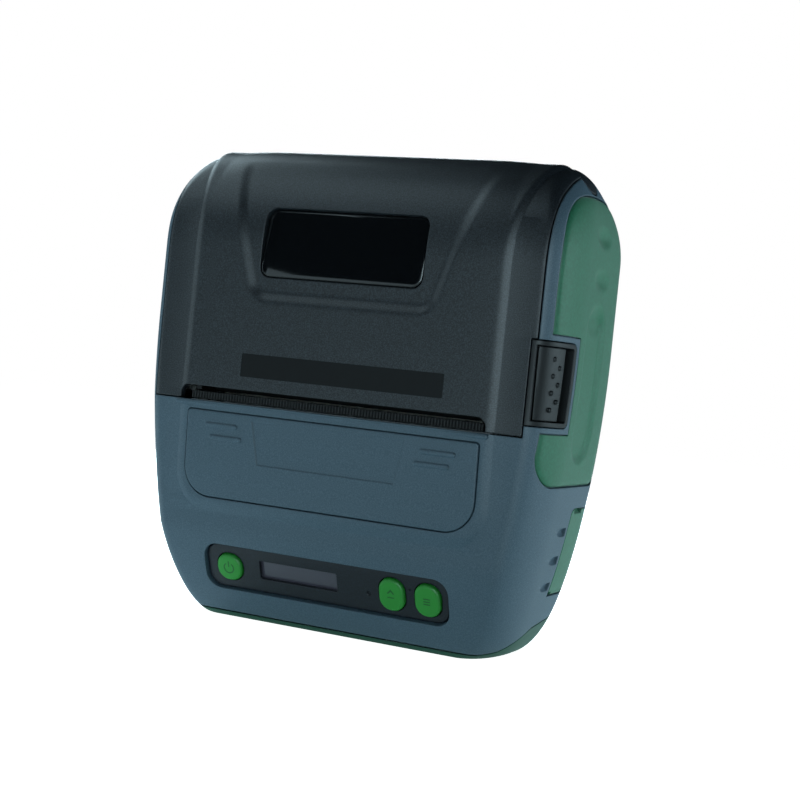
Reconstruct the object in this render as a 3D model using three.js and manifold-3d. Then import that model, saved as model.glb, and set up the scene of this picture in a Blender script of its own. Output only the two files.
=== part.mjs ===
// Portable label printer for rolls of 80 mm paper, standing on its base.
// Millimetres. +Z up, the front faces -Y, +X is the viewer's right. Origin: middle of the base.

import * as THREE from 'three';
import { mergeVertices } from 'three/addons/utils/BufferGeometryUtils.js';
import Module from 'manifold-3d';

const wasm = await Module();
wasm.setup();

// Driving sizes: the paper, the height of the slot and the walls
const paperHalf = 40;            // half width of the widest paper
const bayRadius = 23;            // of the round room that takes the paper roll
const slotHeight = 62;           // top of the body's lip
const wall = 2.2;
const gap = 0.3;                 // between pieces that touch
const seamGap = 0.4;             // open seam round the lid
const overrun = 12;              // how far a cut runs past what it cuts

// Sizes inside that the outer form is built round
const frameBeyond = 6.4;         // the mechanism's frame is this much wider than the paper on each side
const gearBeside = 2.5;          // from the frame's inner face to the gears
const gearWide = 3.2;
const gearRoom = 9.1;            // from the gears to the wall of the case
const platenBehind = 10;         // from the hull's front to the platen's axis
const headPivotBehind = 7.7;     // from there to the print head's pivot
const sinkBehindPivot = 1.6;
const headRoom = 2.35;           // from the heat sink to the guides' front rack
const meshClearance = 0.25;      // between gears, beyond their pitch circles
const rackModule = 0.8;
const rackBack = 2;
const pinionTeeth = 12;
const pinionRadius = (rackModule * pinionTeeth) / 2;
const rackRise = 6.2;            // above the slot
const rackThick = 2.2;
const bayWall = 1.5;
const bayRoom = 2.3;             // behind the roll's room
const rackCover = 1.1;           // from the racks up to the roll's room

// Outer form
const sideRoom = frameBeyond + gearBeside + gearWide + gearRoom + wall;
const mechanismRise = rackRise + rackThick + rackCover + bayWall;
const rackReach = pinionRadius + meshClearance + rackModule + rackBack;
const mechanismDeep = platenBehind + headPivotBehind + sinkBehindPivot + headRoom + rackReach;
const rearRoom = bayWall + bayRoom + wall;
const crownRoom = 16.9;           // above the roll's room
const shieldRise = 1.5;          // the raised front shield stands this proud of the hull
const bodyHeight = slotHeight + mechanismRise + 2 * bayRadius + crownRoom;
const bodyWidth = 2 * (paperHalf + sideRoom);
const bodyDepth = shieldRise + mechanismDeep + bayRadius + rearRoom;
const hullTop = bodyHeight - shieldRise;
const hullFront = shieldRise - bodyDepth / 2;
const hullRear = bodyDepth / 2;
const waistHalf = bodyWidth / 2;
const bayY = hullFront + mechanismDeep;
const bayZ = slotHeight + mechanismRise + bayRadius;
const baseDraw = 18.2;           // the flat base is this much narrower than the waist on each side
const baseHalf = waistHalf - baseDraw;
const waistRise = 23.9;          // the sides swell from the base up to this far above the slot
const footRise = slotHeight + waistRise;
const footPower = 1.9;
const crownDraw = 10.1;          // the top ridge is this much narrower than the waist on each side
const crownHalf = waistHalf - crownDraw;
const crownDrop = 23.9;          // the sides draw in over this height below the top
const toeDepth = 14.3;           // the base starts this far behind the hull's front
const toeRise = 26;
const toePower = 1.24;
const leanBack = 2.25;           // the lower front leans back by this much
const heelDepth = 6;
const heelRise = 14;
const ridgeShift = 6;            // the top ridge lies this far before the roll's middle
const domeMiddle = bayY - ridgeShift;
const frontDomeShift = 9.7;      // the dome's front starts this far above the roll's middle
const rearDomeShift = 14.9;      // and its rear this far
const frontDomeRise = hullTop - bayZ - frontDomeShift;
const rearDomeRise = hullTop - bayZ - rearDomeShift;
const frontCornerWide = 7.5;     // upright corners of the hull, the front ones elliptic
const frontCornerLong = 18;
const rearCorner = 17.3;
const cornerShare = 0.45;        // most of the depth that one rounded corner may take
const cornerSteps = 4;
const round = 2;                 // power of an elliptic arc

// Lid, slot and seam
const slotBeyond = 6.5;          // the slot is this much wider than the paper on each side
const slotHalf = paperHalf + slotBeyond;
const slotOpen = 3.8;
const slotRoundShare = 0.7;
const seamInset = 3.5;           // the side seam lies this far behind the hull's front
const hingeShift = 1;            // behind the top ridge
const hingeDrop = 2.5;           // below the hull's top
const hingeY = domeMiddle + hingeShift;
const hingeZ = hullTop - hingeDrop;
const barrelRadius = 3.9;
const barrelBeyond = 2.6;
const barrelHalf = paperHalf + barrelBeyond;   // middle knuckle of the hinge
const hingePinRadius = 1.1;
const lugThick = 3;

const rad = THREE.MathUtils.degToRad;
const quarterTurn = 90;
const group = new THREE.Group();

// Geometry helpers

function solidOf(geometry) {
  const bare = geometry.clone();
  bare.deleteAttribute('normal');
  bare.deleteAttribute('uv');
  const merged = mergeVertices(bare, 1e-5);
  const vertProperties = new Float32Array(merged.attributes.position.array);
  const triVerts = new Uint32Array(merged.index.array);
  return new wasm.Manifold(new wasm.Mesh({ numProp: 3, vertProperties, triVerts }));
}

function geometryOf(solid) {
  const mesh = solid.getMesh();
  const geometry = new THREE.BufferGeometry();
  geometry.setAttribute('position', new THREE.BufferAttribute(new Float32Array(mesh.vertProperties), 3));
  geometry.setIndex(new THREE.BufferAttribute(new Uint32Array(mesh.triVerts), 1));
  geometry.computeVertexNormals();
  return geometry;
}

function cut(solid, ...tools) {
  return tools.reduce((rest, tool) => rest.subtract(tool), solid);
}

function join(solid, ...others) {
  return others.reduce((sum, other) => sum.add(other), solid);
}

function addPiece(parent, name, shape, finish) {
  const geometry = shape.isBufferGeometry ? shape : geometryOf(shape);
  const mesh = new THREE.Mesh(geometry, new THREE.MeshStandardMaterial(finish));
  mesh.name = name;
  parent.add(mesh);
  return mesh;
}

function block(x0, x1, y0, y1, z0, z1) {
  const geometry = new THREE.BoxGeometry(x1 - x0, y1 - y0, z1 - z0);
  geometry.translate((x0 + x1) / 2, (y0 + y1) / 2, (z0 + z1) / 2);
  return solidOf(geometry);
}

function shapeOf(points) {
  return new THREE.Shape(points.map(([u, v]) => new THREE.Vector2(u, v)));
}

// An outline in (y, z) carried along X
function prismX(points, x0, x1) {
  const geometry = new THREE.ExtrudeGeometry(shapeOf(points), { depth: x1 - x0, bevelEnabled: false });
  const turn = new THREE.Matrix4().makeBasis(
    new THREE.Vector3(0, 1, 0), new THREE.Vector3(0, 0, 1), new THREE.Vector3(1, 0, 0));
  geometry.applyMatrix4(turn);
  geometry.translate(x0, 0, 0);
  return solidOf(geometry);
}

// An outline in (x, z) carried along Y
function prismY(points, y0, y1) {
  const geometry = new THREE.ExtrudeGeometry(shapeOf(points), { depth: y1 - y0, bevelEnabled: false });
  geometry.rotateX(Math.PI / 2);
  geometry.translate(0, y1, 0);
  return solidOf(geometry);
}

// An outline in (x, y) carried along Z
function prismZ(points, z0, z1) {
  const geometry = new THREE.ExtrudeGeometry(shapeOf(points), { depth: z1 - z0, bevelEnabled: false });
  geometry.translate(0, 0, z0);
  return solidOf(geometry);
}

// A round bar along X
function rodX(y, z, radius, x0, x1, sides = 24) {
  const geometry = new THREE.CylinderGeometry(radius, radius, x1 - x0, sides);
  geometry.rotateZ(Math.PI / 2);
  geometry.translate((x0 + x1) / 2, y, z);
  return solidOf(geometry);
}

// A round bar along Y
function rodY(x, z, radius, y0, y1, sides = 16) {
  const geometry = new THREE.CylinderGeometry(radius, radius, y1 - y0, sides);
  geometry.translate(x, (y0 + y1) / 2, z);
  return solidOf(geometry);
}

// A round bar along Z
function rodZ(x, y, radius, z0, z1, sides = 16) {
  const geometry = new THREE.CylinderGeometry(radius, radius, z1 - z0, sides);
  geometry.rotateX(Math.PI / 2);
  geometry.translate(x, y, (z0 + z1) / 2);
  return solidOf(geometry);
}

// A rectangle with round corners, radii in the order bottom left, bottom right, top right, top left
function roundedRect(left, right, bottom, top, radii, steps = 4) {
  const corners = [
    [left + radii[0], bottom + radii[0], radii[0], 2 * quarterTurn],
    [right - radii[1], bottom + radii[1], radii[1], 3 * quarterTurn],
    [right - radii[2], top - radii[2], radii[2], 0],
    [left + radii[3], top - radii[3], radii[3], quarterTurn],
  ];
  const points = [];
  for (const [u, v, radius, start] of corners) {
    for (let k = 0; k <= steps; k += 1) {
      const angle = rad(start + (quarterTurn * k) / steps);
      points.push([u + radius * Math.cos(angle), v + radius * Math.sin(angle)]);
    }
  }
  return points;
}

function same(radius) {
  return [radius, radius, radius, radius];
}

// A skin over rings of equal length, closed by a flat fan at each end
function loft(rings) {
  const count = rings[0].length;
  const positions = rings.flat(2);
  const index = [];
  for (let i = 0; i + 1 < rings.length; i += 1) {
    for (let j = 0; j < count; j += 1) {
      const a = i * count + j;
      const b = i * count + ((j + 1) % count);
      index.push(a, b, b + count, a, b + count, a + count);
    }
  }
  const last = (rings.length - 1) * count;
  for (let j = 1; j + 1 < count; j += 1) {
    index.push(0, j + 1, j);
    index.push(last, last + j, last + j + 1);
  }
  const geometry = new THREE.BufferGeometry();
  geometry.setAttribute('position', new THREE.BufferAttribute(new Float32Array(positions), 3));
  geometry.setIndex(index);
  return solidOf(geometry);
}

// Outer form of the case

// Height of a power arc of width 1 and height 1 at the share s of its width
function arc(s, power) {
  return (1 - Math.min(Math.max(s, 0), 1) ** power) ** (1 / power);
}

function halfWidthAt(z) {
  if (z < footRise) {
    return baseHalf + (waistHalf - baseHalf) * arc((footRise - z) / footRise, footPower);
  }
  const crownFoot = hullTop - crownDrop;
  return crownHalf + (waistHalf - crownHalf) * arc((z - crownFoot) / crownDrop, round);
}

function frontAt(z) {
  const frontDomeFoot = hullTop - frontDomeRise;
  if (z < toeRise) {
    const toeFront = hullFront + toeDepth;
    return toeFront - (toeDepth - leanBack) * arc((toeRise - z) / toeRise, toePower);
  }
  if (z < slotHeight) {
    return hullFront + (leanBack * (slotHeight - z)) / (slotHeight - toeRise);
  }
  return domeMiddle - (domeMiddle - hullFront) * arc((z - frontDomeFoot) / frontDomeRise, round);
}

function rearAt(z) {
  if (z < heelRise) {
    return hullRear - heelDepth + heelDepth * arc((heelRise - z) / heelRise, round);
  }
  return domeMiddle + (hullRear - domeMiddle) * arc((z - hullTop + rearDomeRise) / rearDomeRise, round);
}

function hullRing(z, inset) {
  const half = halfWidthAt(z) - inset;
  const front = frontAt(z) + inset;
  const rear = rearAt(z) - inset;
  const frontAcross = frontCornerWide - inset;
  const rearAcross = rearCorner - inset;
  const frontDeep = Math.min(frontCornerLong - inset, (rear - front) * cornerShare);
  const rearDeep = Math.min(rearAcross, (rear - front) * cornerShare);
  const height = inset + (z * (hullTop - 2 * inset)) / hullTop;
  const corners = [
    [half - frontAcross, front + frontDeep, frontAcross, frontDeep, 3 * quarterTurn],
    [half - rearAcross, rear - rearDeep, rearAcross, rearDeep, 0],
    [rearAcross - half, rear - rearDeep, rearAcross, rearDeep, quarterTurn],
    [frontAcross - half, front + frontDeep, frontAcross, frontDeep, 2 * quarterTurn],
  ];
  const ring = [];
  for (const [x, y, across, deep, start] of corners) {
    for (let k = 0; k <= cornerSteps; k += 1) {
      const angle = rad(start + (quarterTurn * k) / cornerSteps);
      ring.push([x + across * Math.cos(angle), y + deep * Math.sin(angle), height]);
    }
  }
  return ring;
}

const toeShares = [0, 0.05, 0.12, 0.22, 0.36, 0.52, 0.74];
const sideShares = [0.25, 0.6, 1];
const domeAngles = [0, 12, 24, 36, 47, 57, 66, 74, 80, 85];
const lowerLevels = toeShares.map((share) => toeRise * share);
const middleLevels = sideShares.map((share) => toeRise + (slotHeight - toeRise) * share);
const domeFoot = hullTop - frontDomeRise;
const domeLevels = domeAngles.map((angle) => domeFoot + frontDomeRise * Math.sin(rad(angle)));
const upperLevel = (slotHeight + domeFoot) / 2;
const hullLevels = [...lowerLevels, toeRise, ...middleLevels, upperLevel, ...domeLevels];

function hull(inset) {
  return loft(hullLevels.map((z) => hullRing(z, inset)));
}

// The middle line of the case seen from the side, from the lower front over the top to the rear
const shieldFootRise = 3.5;      // above the toe
const shieldFoot = toeRise + shieldFootRise;
const shieldDraw = 17.8;         // the shield's flat is this much narrower than the waist on each side
const shieldHalf = waistHalf - shieldDraw;
const shieldBevel = 4.5;
const shieldCorner = 13;
const shieldSink = 0.3;
const shieldCrownSink = 2.2;     // extra sink of the bevel's foot where the hull narrows
const shieldRootDepth = 3.5;
const shieldCornerShare = 0.6;   // place of one more station in the round corner
const rearShieldAngles = [84, 74, 64, 54, 44];

const shieldFootSteps = [0, shieldBevel / 3, (2 * shieldBevel) / 3, shieldBevel,
  shieldCorner * shieldCornerShare, shieldCorner];

function sidePath() {
  const path = [];
  for (const step of shieldFootSteps) {
    path.push([frontAt(shieldFoot + step), shieldFoot + step]);
  }
  path.push([hullFront, slotHeight], [hullFront, upperLevel]);
  for (const angle of domeAngles) {
    const reach = (domeMiddle - hullFront) * Math.cos(rad(angle));
    path.push([domeMiddle - reach, domeFoot + frontDomeRise * Math.sin(rad(angle))]);
  }
  for (const angle of rearShieldAngles) {
    const reach = (hullRear - domeMiddle) * Math.cos(rad(angle));
    path.push([domeMiddle + reach, hullTop - rearDomeRise + rearDomeRise * Math.sin(rad(angle))]);
  }
  return path;
}

// Each point of a path with its outward normal, the path running clockwise seen from +X
function withNormals(path) {
  return path.map(([y, z], i) => {
    const before = path[Math.max(i - 1, 0)];
    const after = path[Math.min(i + 1, path.length - 1)];
    const length = Math.hypot(after[0] - before[0], after[1] - before[1]);
    return { y, z, ny: -(after[1] - before[1]) / length, nz: (after[0] - before[0]) / length };
  });
}

// Raised shield: a flat band with sloped edges that runs up the front and over the top
function shield() {
  const stations = withNormals(sidePath());
  const end = stations[stations.length - 1];
  const rings = stations.map(({ y, z, ny, nz }, i) => {
    const climb = i < shieldFootSteps.length ? z - shieldFoot : shieldCorner;
    const outer = shieldHalf + shieldBevel - shieldCorner * (1 - arc(1 - climb / shieldCorner, round));
    const inner = outer - shieldBevel;
    const fade = y > domeMiddle ? (end.y - y) / (end.y - domeMiddle) : 1;
    const grow = Math.min(climb / shieldBevel, fade * 2, 1);
    const crown = Math.max(0, (z - domeFoot) / frontDomeRise) ** round;
    const sink = shieldSink + shieldCrownSink * crown;
    const top = -shieldSink + (shieldRise + shieldSink) * grow;
    const profile = [
      [-outer, -sink], [-inner, top], [inner, top], [outer, -sink],
      [outer, -shieldRootDepth], [-outer, -shieldRootDepth],
    ];
    return profile.map(([x, lift]) => [x, y + ny * lift, z + nz * lift]);
  });
  return loft(rings);
}

const hullSolid = join(hull(0), shield());
const cavity = hull(wall);
const shell = cut(hullSolid, cavity);

// Lid zone seen from the side: everything before and above the seam
const seamFoot = domeFoot;
const seamRise = hingeZ - barrelRadius - seamFoot;
const seamSteps = 8;

function lidOutline(grow) {
  const seamY = hullFront + seamInset + grow;
  const points = [[hullFront - overrun, slotHeight - grow], [seamY, slotHeight - grow]];
  for (let k = 0; k <= seamSteps; k += 1) {
    const angle = rad((quarterTurn * k) / seamSteps);
    points.push([
      hingeY - (hingeY - seamY) * Math.cos(angle),
      seamFoot + (seamRise - grow) * Math.sin(angle),
    ]);
  }
  return points;
}

function lidTool(grow, rearY) {
  const points = lidOutline(grow);
  points.push([hingeY, hingeZ], [rearY, hingeZ], [rearY, bodyHeight + overrun]);
  points.push([hullFront - overrun, bodyHeight + overrun]);
  return prismX(points, -waistHalf - overrun, waistHalf + overrun);
}

// Latch corner: cut out of the lid's lower right and the body's side
const latchDeep = 7.6;           // from the side of the case inwards
const latchLong = 14;            // from the hull's front to the rear
const latchRise = 3;             // above the slot
const latchTall = 22;
const latchLeft = waistHalf - latchDeep;
const latchRear = hullFront + latchLong;
const latchBottom = slotHeight + latchRise;
const latchTop = latchBottom + latchTall;
const latchRim = 1.6;

const lidZone = lidTool(0, hingeY);
const lidCornerCut = block(latchLeft - seamGap, waistHalf + overrun, hullFront - overrun, latchRear,
  slotHeight - overrun, latchTop + seamGap);
const housingCorner = block(latchLeft, waistHalf + overrun, hullFront - overrun, latchRear,
  slotHeight - overrun, latchBottom + seamGap);
const lidCut = cut(lidTool(seamGap, hingeY + barrelRadius + seamGap), housingCorner);
const barrelCut = rodX(hingeY, hingeZ, barrelRadius + seamGap, -waistHalf, waistHalf, 24);

// Finishes
const slateFinish = { color: 0x4d6270, roughness: 0.55, metalness: 0 };
const lidFinish = { color: 0x22272c, roughness: 0.5, metalness: 0 };
const glossFinish = { color: 0x050709, roughness: 0.08, metalness: 0 };
const gripFinish = { color: 0x2f7254, roughness: 0.6, metalness: 0 };
const buttonFinish = { color: 0x35883f, roughness: 0.5, metalness: 0 };
const baseFinish = { color: 0x2a5a47, roughness: 0.6, metalness: 0 };
const panelFinish = { color: 0x161c24, roughness: 0.45, metalness: 0 };
const blackFinish = { color: 0x14181b, roughness: 0.5, metalness: 0 };
const rubberFinish = { color: 0x1b1c1d, roughness: 0.85, metalness: 0 };
const steelFinish = { color: 0xa9adb1, roughness: 0.35, metalness: 1 };
const aluminiumFinish = { color: 0xb9bcc0, roughness: 0.4, metalness: 1 };
const acetalFinish = { color: 0xe4e4de, roughness: 0.5, metalness: 0 };
const boardFinish = { color: 0x1d5a36, roughness: 0.5, metalness: 0 };
const ceramicFinish = { color: 0xd9d5c8, roughness: 0.4, metalness: 0 };
const lensFinish = { color: 0x5c5a66, roughness: 0.15, metalness: 0 };

// Grip zone seen from the side
const gripEdge = 8;              // from the hull's front and rear
const gripFoot = 13.5;           // below the slot
const gripFront = hullFront + gripEdge;
const gripRear = hullRear - gripEdge;
const gripBottom = slotHeight - gripFoot;
const gripCorner = 9;
const gripDomeDrop = 34.5;       // the dome starts this far below the hull's top
const gripDomeFoot = hullTop - gripDomeDrop;
const gripDomeRise = 27;
const gripDomeShift = 1;
const gripDomeY = bayY + gripDomeShift;
const gripDepth = 1.2;           // how deep the grip is let into the wall
const gripNotch = latchRim + seamGap;
const gripCornerSteps = 5;
const gripDomeSteps = 8;

function gripOutline(grow) {
  const points = [];
  const bottom = gripBottom - grow;
  const front = gripFront - grow;
  const rear = gripRear + grow;
  const corners = [[front + gripCorner, 2 * quarterTurn], [rear - gripCorner, 3 * quarterTurn]];
  for (const [middle, start] of corners) {
    for (let k = 0; k <= gripCornerSteps; k += 1) {
      const angle = rad(start + (quarterTurn * k) / gripCornerSteps);
      points.push([middle + gripCorner * Math.cos(angle), bottom + gripCorner
        + gripCorner * Math.sin(angle)]);
    }
  }
  for (let k = 0; k <= gripDomeSteps; k += 1) {
    const angle = rad((2 * quarterTurn * k) / gripDomeSteps);
    const reach = Math.cos(angle) > 0 ? rear - gripDomeY : gripDomeY - front;
    points.push([gripDomeY + reach * Math.cos(angle), gripDomeFoot + (gripDomeRise
      + grow) * Math.sin(angle)]);
  }
  return points;
}

// Front panel plane: leans back below the slot
const leanAngle = Math.atan(leanBack / (slotHeight - toeRise));
const frontPlane = new THREE.Group();
frontPlane.position.set(0, hullFront - shieldRise, slotHeight);
frontPlane.rotation.x = leanAngle;
group.add(frontPlane);

// Moves a solid written in a group's own frame into the case's frame
function inCase(solid, frame) {
  frame.updateMatrixWorld(true);
  const geometry = geometryOf(solid);
  geometry.applyMatrix4(frame.matrixWorld);
  return solidOf(geometry);
}

// Front inlay, its pocket, and its four raised bars
const panelTopZ = 21.6;
const inlayTop = -3;             // below the slot, along the panel
const inlayOverPanel = 13.2;     // from the control panel up to the inlay
const inlayBottom = panelTopZ + inlayOverPanel - slotHeight;
const inlayDraw = 18.9;
const inlayHalf = waistHalf - inlayDraw;
const inlayThick = 1.4;
const inlayCorner = 8.5;
const inlayTopCorner = 1;
const barLength = 10.4;
const barWidth = 1.3;
const barRise = 0.5;
const barInset = 5.8;
const barOuter = inlayHalf - barInset;
const barStep = 1.6;             // the lower bars start this much nearer the middle
const barHeights = [-6.9, -10.3];
const badgeHalf = 21;
const badgeTop = -4.6;
const badgeRise = 10.2;          // above the inlay's lower edge
const badgeBottom = inlayBottom + badgeRise;
const badgeDepth = 0.5;
const badgeFlare = 2.5;

function inlayOutline(grow) {
  const radii = [inlayCorner + grow, inlayCorner + grow, inlayTopCorner + grow, inlayTopCorner + grow];
  return roundedRect(-inlayHalf - grow, inlayHalf + grow, inlayBottom - grow, inlayTop + grow, radii);
}

function frontInlay() {
  let inlay = prismY(inlayOutline(0), 0, inlayThick);
  const badge = [
    [-badgeHalf, badgeBottom], [badgeHalf, badgeBottom],
    [badgeHalf + badgeFlare, badgeTop], [-badgeHalf - badgeFlare, badgeTop],
  ];
  inlay = cut(inlay, prismY(badge, -overrun, badgeDepth));
  barHeights.forEach((height, row) => {
    const outer = barOuter - row * barStep;
    for (const side of [-1, 1]) {
      const from = side > 0 ? outer - barLength : -outer;
      const bar = roundedRect(from, from + barLength, height - barWidth / 2, height + barWidth / 2,
        same(barWidth / 2), 3);
      inlay = join(inlay, prismY(bar, -barRise, inlayThick / 2));
    }
  });
  return inlay;
}

const inlayPocket = inCase(prismY(inlayOutline(gap), -overrun, inlayThick + gap), frontPlane);
addPiece(frontPlane, 'front_inlay', frontInlay(), slateFinish);

// Control panel on the lower slope, in its own tilted frame
const panelBottomZ = 9.1;
const panelSink = 0.9;
const panelDraw = 25.4;
const panelHalf = waistHalf - panelDraw;
const panelThick = 2.4;
const panelCorner = 4.2;
const panelMiddleZ = (panelTopZ + panelBottomZ) / 2;
const panelAngle = Math.atan((frontAt(panelBottomZ) - frontAt(panelTopZ)) / (panelTopZ - panelBottomZ));
const panelHeight = (panelTopZ - panelBottomZ) / Math.cos(panelAngle);
const controlPlane = new THREE.Group();
controlPlane.position.set(0, (frontAt(panelBottomZ) + frontAt(panelTopZ)) / 2 + panelSink, panelMiddleZ);
controlPlane.rotation.x = panelAngle;
group.add(controlPlane);

const displayX = -7.3;
const displayLift = 0.45;
const displayRoom = 13.1;        // the display is this much narrower than half the panel
const displayWide = panelHalf - displayRoom;
const displayTall = 5.7;
const lensEdge = 1;              // the lens and the module reach this far past the view
const lensThick = 0.8;
const lensSink = 0.9;
const buttonTravel = 0.8;
const buttonProud = 1.1;
const buttonFlange = 0.7;
const flangeThick = 0.8;
const buttonCorner = 3.6;
const powerInset = 7.8;          // from the panel's ends to the buttons' middles
const feedInset = 17.1;
const functionInset = 6.4;
const powerSize = 8;
const keyWide = 7.6;
const keyTall = 9.6;
const buttons = [
  { name: 'power_button', x: powerInset - panelHalf, wide: powerSize, tall: powerSize },
  { name: 'feed_button', x: panelHalf - feedInset, wide: keyWide, tall: keyTall },
  { name: 'function_button', x: panelHalf - functionInset, wide: keyWide, tall: keyTall },
];
const boardThick = 1.2;
const boardEdge = 1;             // the button board is this much smaller than the panel all round
const domeHeight = 0.5;
const domeRadius = 2;
const boardFront = panelThick + gap + flangeThick + buttonTravel + gap + domeHeight;

function panelOutline(grow) {
  return roundedRect(-panelHalf - grow, panelHalf + grow, -panelHeight / 2 - grow, panelHeight / 2 + grow,
    same(panelCorner + grow));
}

function buttonOutline(button, grow) {
  const half = button.wide / 2 + grow;
  const high = button.tall / 2 + grow;
  return roundedRect(button.x - half, button.x + half, -high, high, same(buttonCorner + grow));
}

function displayOutline(grow) {
  const half = displayWide / 2 + grow;
  const high = displayTall / 2 + grow;
  return [
    [displayX - half, displayLift - high], [displayX + half, displayLift - high],
    [displayX + half, displayLift + high], [displayX - half, displayLift + high],
  ];
}

function controlBezel() {
  const holes = buttons.map((button) => prismY(buttonOutline(button, gap), -overrun, overrun));
  const view = prismY(displayOutline(0), -overrun, overrun);
  const seat = prismY(displayOutline(lensEdge + gap), lensSink, overrun);
  return cut(prismY(panelOutline(0), 0, panelThick), ...holes, view, seat);
}

function buttonCap(button) {
  const cap = prismY(buttonOutline(button, 0), -buttonProud, panelThick + gap + flangeThick / 2);
  const flange = prismY(buttonOutline(button, buttonFlange), panelThick + gap, panelThick + gap
    + flangeThick);
  return join(cap, flange);
}

addPiece(controlPlane, 'control_bezel', controlBezel(), panelFinish);
addPiece(controlPlane, 'display_lens',
  prismY(displayOutline(lensEdge), lensSink + gap, lensSink + gap + lensThick), lensFinish);
for (const button of buttons) {
  addPiece(controlPlane, button.name, buttonCap(button), buttonFinish);
}
const displayBack = panelThick + gap;
addPiece(controlPlane, 'display_module',
  prismY(displayOutline(lensEdge), displayBack, boardFront - gap), blackFinish);

function buttonBoard() {
  const outline = roundedRect(-panelHalf, panelHalf, boardEdge - panelHeight / 2,
    panelHeight / 2 - boardEdge,
    same(boardEdge));
  const board = prismY(outline, boardFront, boardFront + boardThick);
  const domes = buttons.map(
    (button) => rodY(button.x, 0, domeRadius, boardFront - domeHeight, boardFront + boardThick / 2));
  return join(board, ...domes);
}

addPiece(controlPlane, 'button_board', buttonBoard(), boardFinish);
const panelHole = inCase(prismY(panelOutline(gap), -overrun, overrun), controlPlane);

// Port door and the three finger scoops before it, on the right side
const boardBehind = 32.5;        // from the hull's front to the main board
const mainBoardFront = hullFront + boardBehind;
const doorFront = mainBoardFront;
const doorWide = 12;
const doorRear = doorFront + doorWide;
const doorBottom = 18;
const doorTopDrop = 19.5;        // below the slot
const doorTop = slotHeight - doorTopDrop;
const doorCorner = 2;
const doorThick = 2;
const doorNotchRadius = 1.2;     // finger notch in the top edge
const doorNotchFrom = doorFront + doorCorner;
const doorNotchTo = doorNotchFrom + doorWide / 2;
const doorHingeRadius = 1;
const doorHingeZ = doorBottom + doorHingeRadius;
const doorHingeX = halfWidthAt(doorHingeZ) - doorHingeRadius;
const scoopDrops = [5.7, 12.5, 19.1];          // below the door's top edge
const scoopHeights = scoopDrops.map((drop) => doorTop - drop);
const scoopLong = 7;
const scoopTall = 1.8;
const scoopDepth = 1.1;
const scoopEnd = 1.6;            // the scoops end this far before the door

function doorOutline(grow) {
  return roundedRect(doorFront - grow, doorRear + grow, doorBottom - grow, doorTop + grow,
    same(doorCorner + grow));
}

// The hole is square at its foot, where the door swings through
const doorHole = join(prismX(doorOutline(gap), 0, waistHalf + overrun),
  block(0, waistHalf + overrun, doorFront - gap, doorRear + gap, doorBottom - gap, doorBottom
    + doorCorner + gap));

function portDoor() {
  const skin = cut(hull(0), hull(doorThick));
  const panel = prismX(doorOutline(0), 0, waistHalf + overrun).intersect(skin);
  const belowHinge = block(0, waistHalf + overrun, doorFront - overrun, doorRear + overrun, 0, doorHingeZ);
  const bead = rodY(doorHingeX, doorHingeZ, doorHingeRadius, doorFront + doorCorner,
    doorRear - doorCorner, 20);
  const nailNotch = rodY(halfWidthAt(doorTop), doorTop, doorNotchRadius, doorNotchFrom, doorNotchTo);
  return cut(join(cut(panel, belowHinge), bead), nailNotch);
}

function scoops() {
  return scoopHeights.map((height) => {
    const ball = new THREE.SphereGeometry(1, 12, 6);
    ball.scale(scoopLong / 2, scoopLong, scoopTall);
    ball.translate(halfWidthAt(height) + scoopLong / 2 - scoopDepth, doorFront - scoopLong / 2, height);
    const solid = solidOf(ball);
    return cut(solid, block(0, waistHalf + overrun, doorFront - scoopEnd, doorFront + overrun, 0,
      bodyHeight));
  });
}

// Base cover: the lowest strip of the case, rising towards the rear
const baseSeamFront = 3.2;
const baseSeamRear = 13;

function belowBaseSeam(drop) {
  const slope = (baseSeamRear - baseSeamFront) / (hullRear - hullFront - toeDepth);
  const start = hullFront + toeDepth;
  return prismX([
    [start - overrun, baseSeamFront - drop - overrun * slope], [start - overrun, -overrun],
    [hullRear + overrun, -overrun], [hullRear + overrun, baseSeamRear - drop + overrun * slope],
  ], -waistHalf, waistHalf);
}

// Front and rear housings part on an upright plane near the rear
const rearShellDeep = 7.5;
const partingY = hullRear - rearShellDeep;
const behindParting = block(-waistHalf - overrun, waistHalf + overrun, partingY, hullRear + overrun,
  -overrun, bodyHeight + overrun);
const beforeParting = block(-waistHalf - overrun, waistHalf + overrun, -waistHalf, partingY + gap,
  -overrun, bodyHeight + overrun);

// Battery pack in the rear
const packInset = 3;             // narrower than the paper on each side
const packHalf = paperHalf - packInset;
const packBottom = 20;
const packTop = slotHeight;
const packBehindBoard = 6;
const packFront = mainBoardFront + packBehindBoard;
const packCorner = 4;
const packLatchHalf = 9;
const packLatchTall = 6;

function packOutline(grow) {
  return roundedRect(-packHalf - grow, packHalf + grow, packBottom - grow, packTop + grow, same(packCorner));
}

const packHole = prismY(packOutline(gap), packFront, hullRear + overrun);
// Grips: let into the outside of both sides
const gripSkin = cut(hull(0), hull(gripDepth));
const gripSink = cut(hull(-shieldBevel), hull(gripDepth + gap));

function gripTool(side, grow) {
  const span = side > 0 ? [baseHalf, waistHalf + overrun] : [-waistHalf - overrun, -baseHalf];
  let tool = prismX(gripOutline(grow), span[0], span[1]);
  if (side > 0) {
    tool = cut(tool, block(0, waistHalf + overrun, gripFront - overrun, latchRear + gripNotch - grow,
      latchBottom - gripNotch + grow, latchTop + gripNotch - grow));
  }
  return tool;
}

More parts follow.
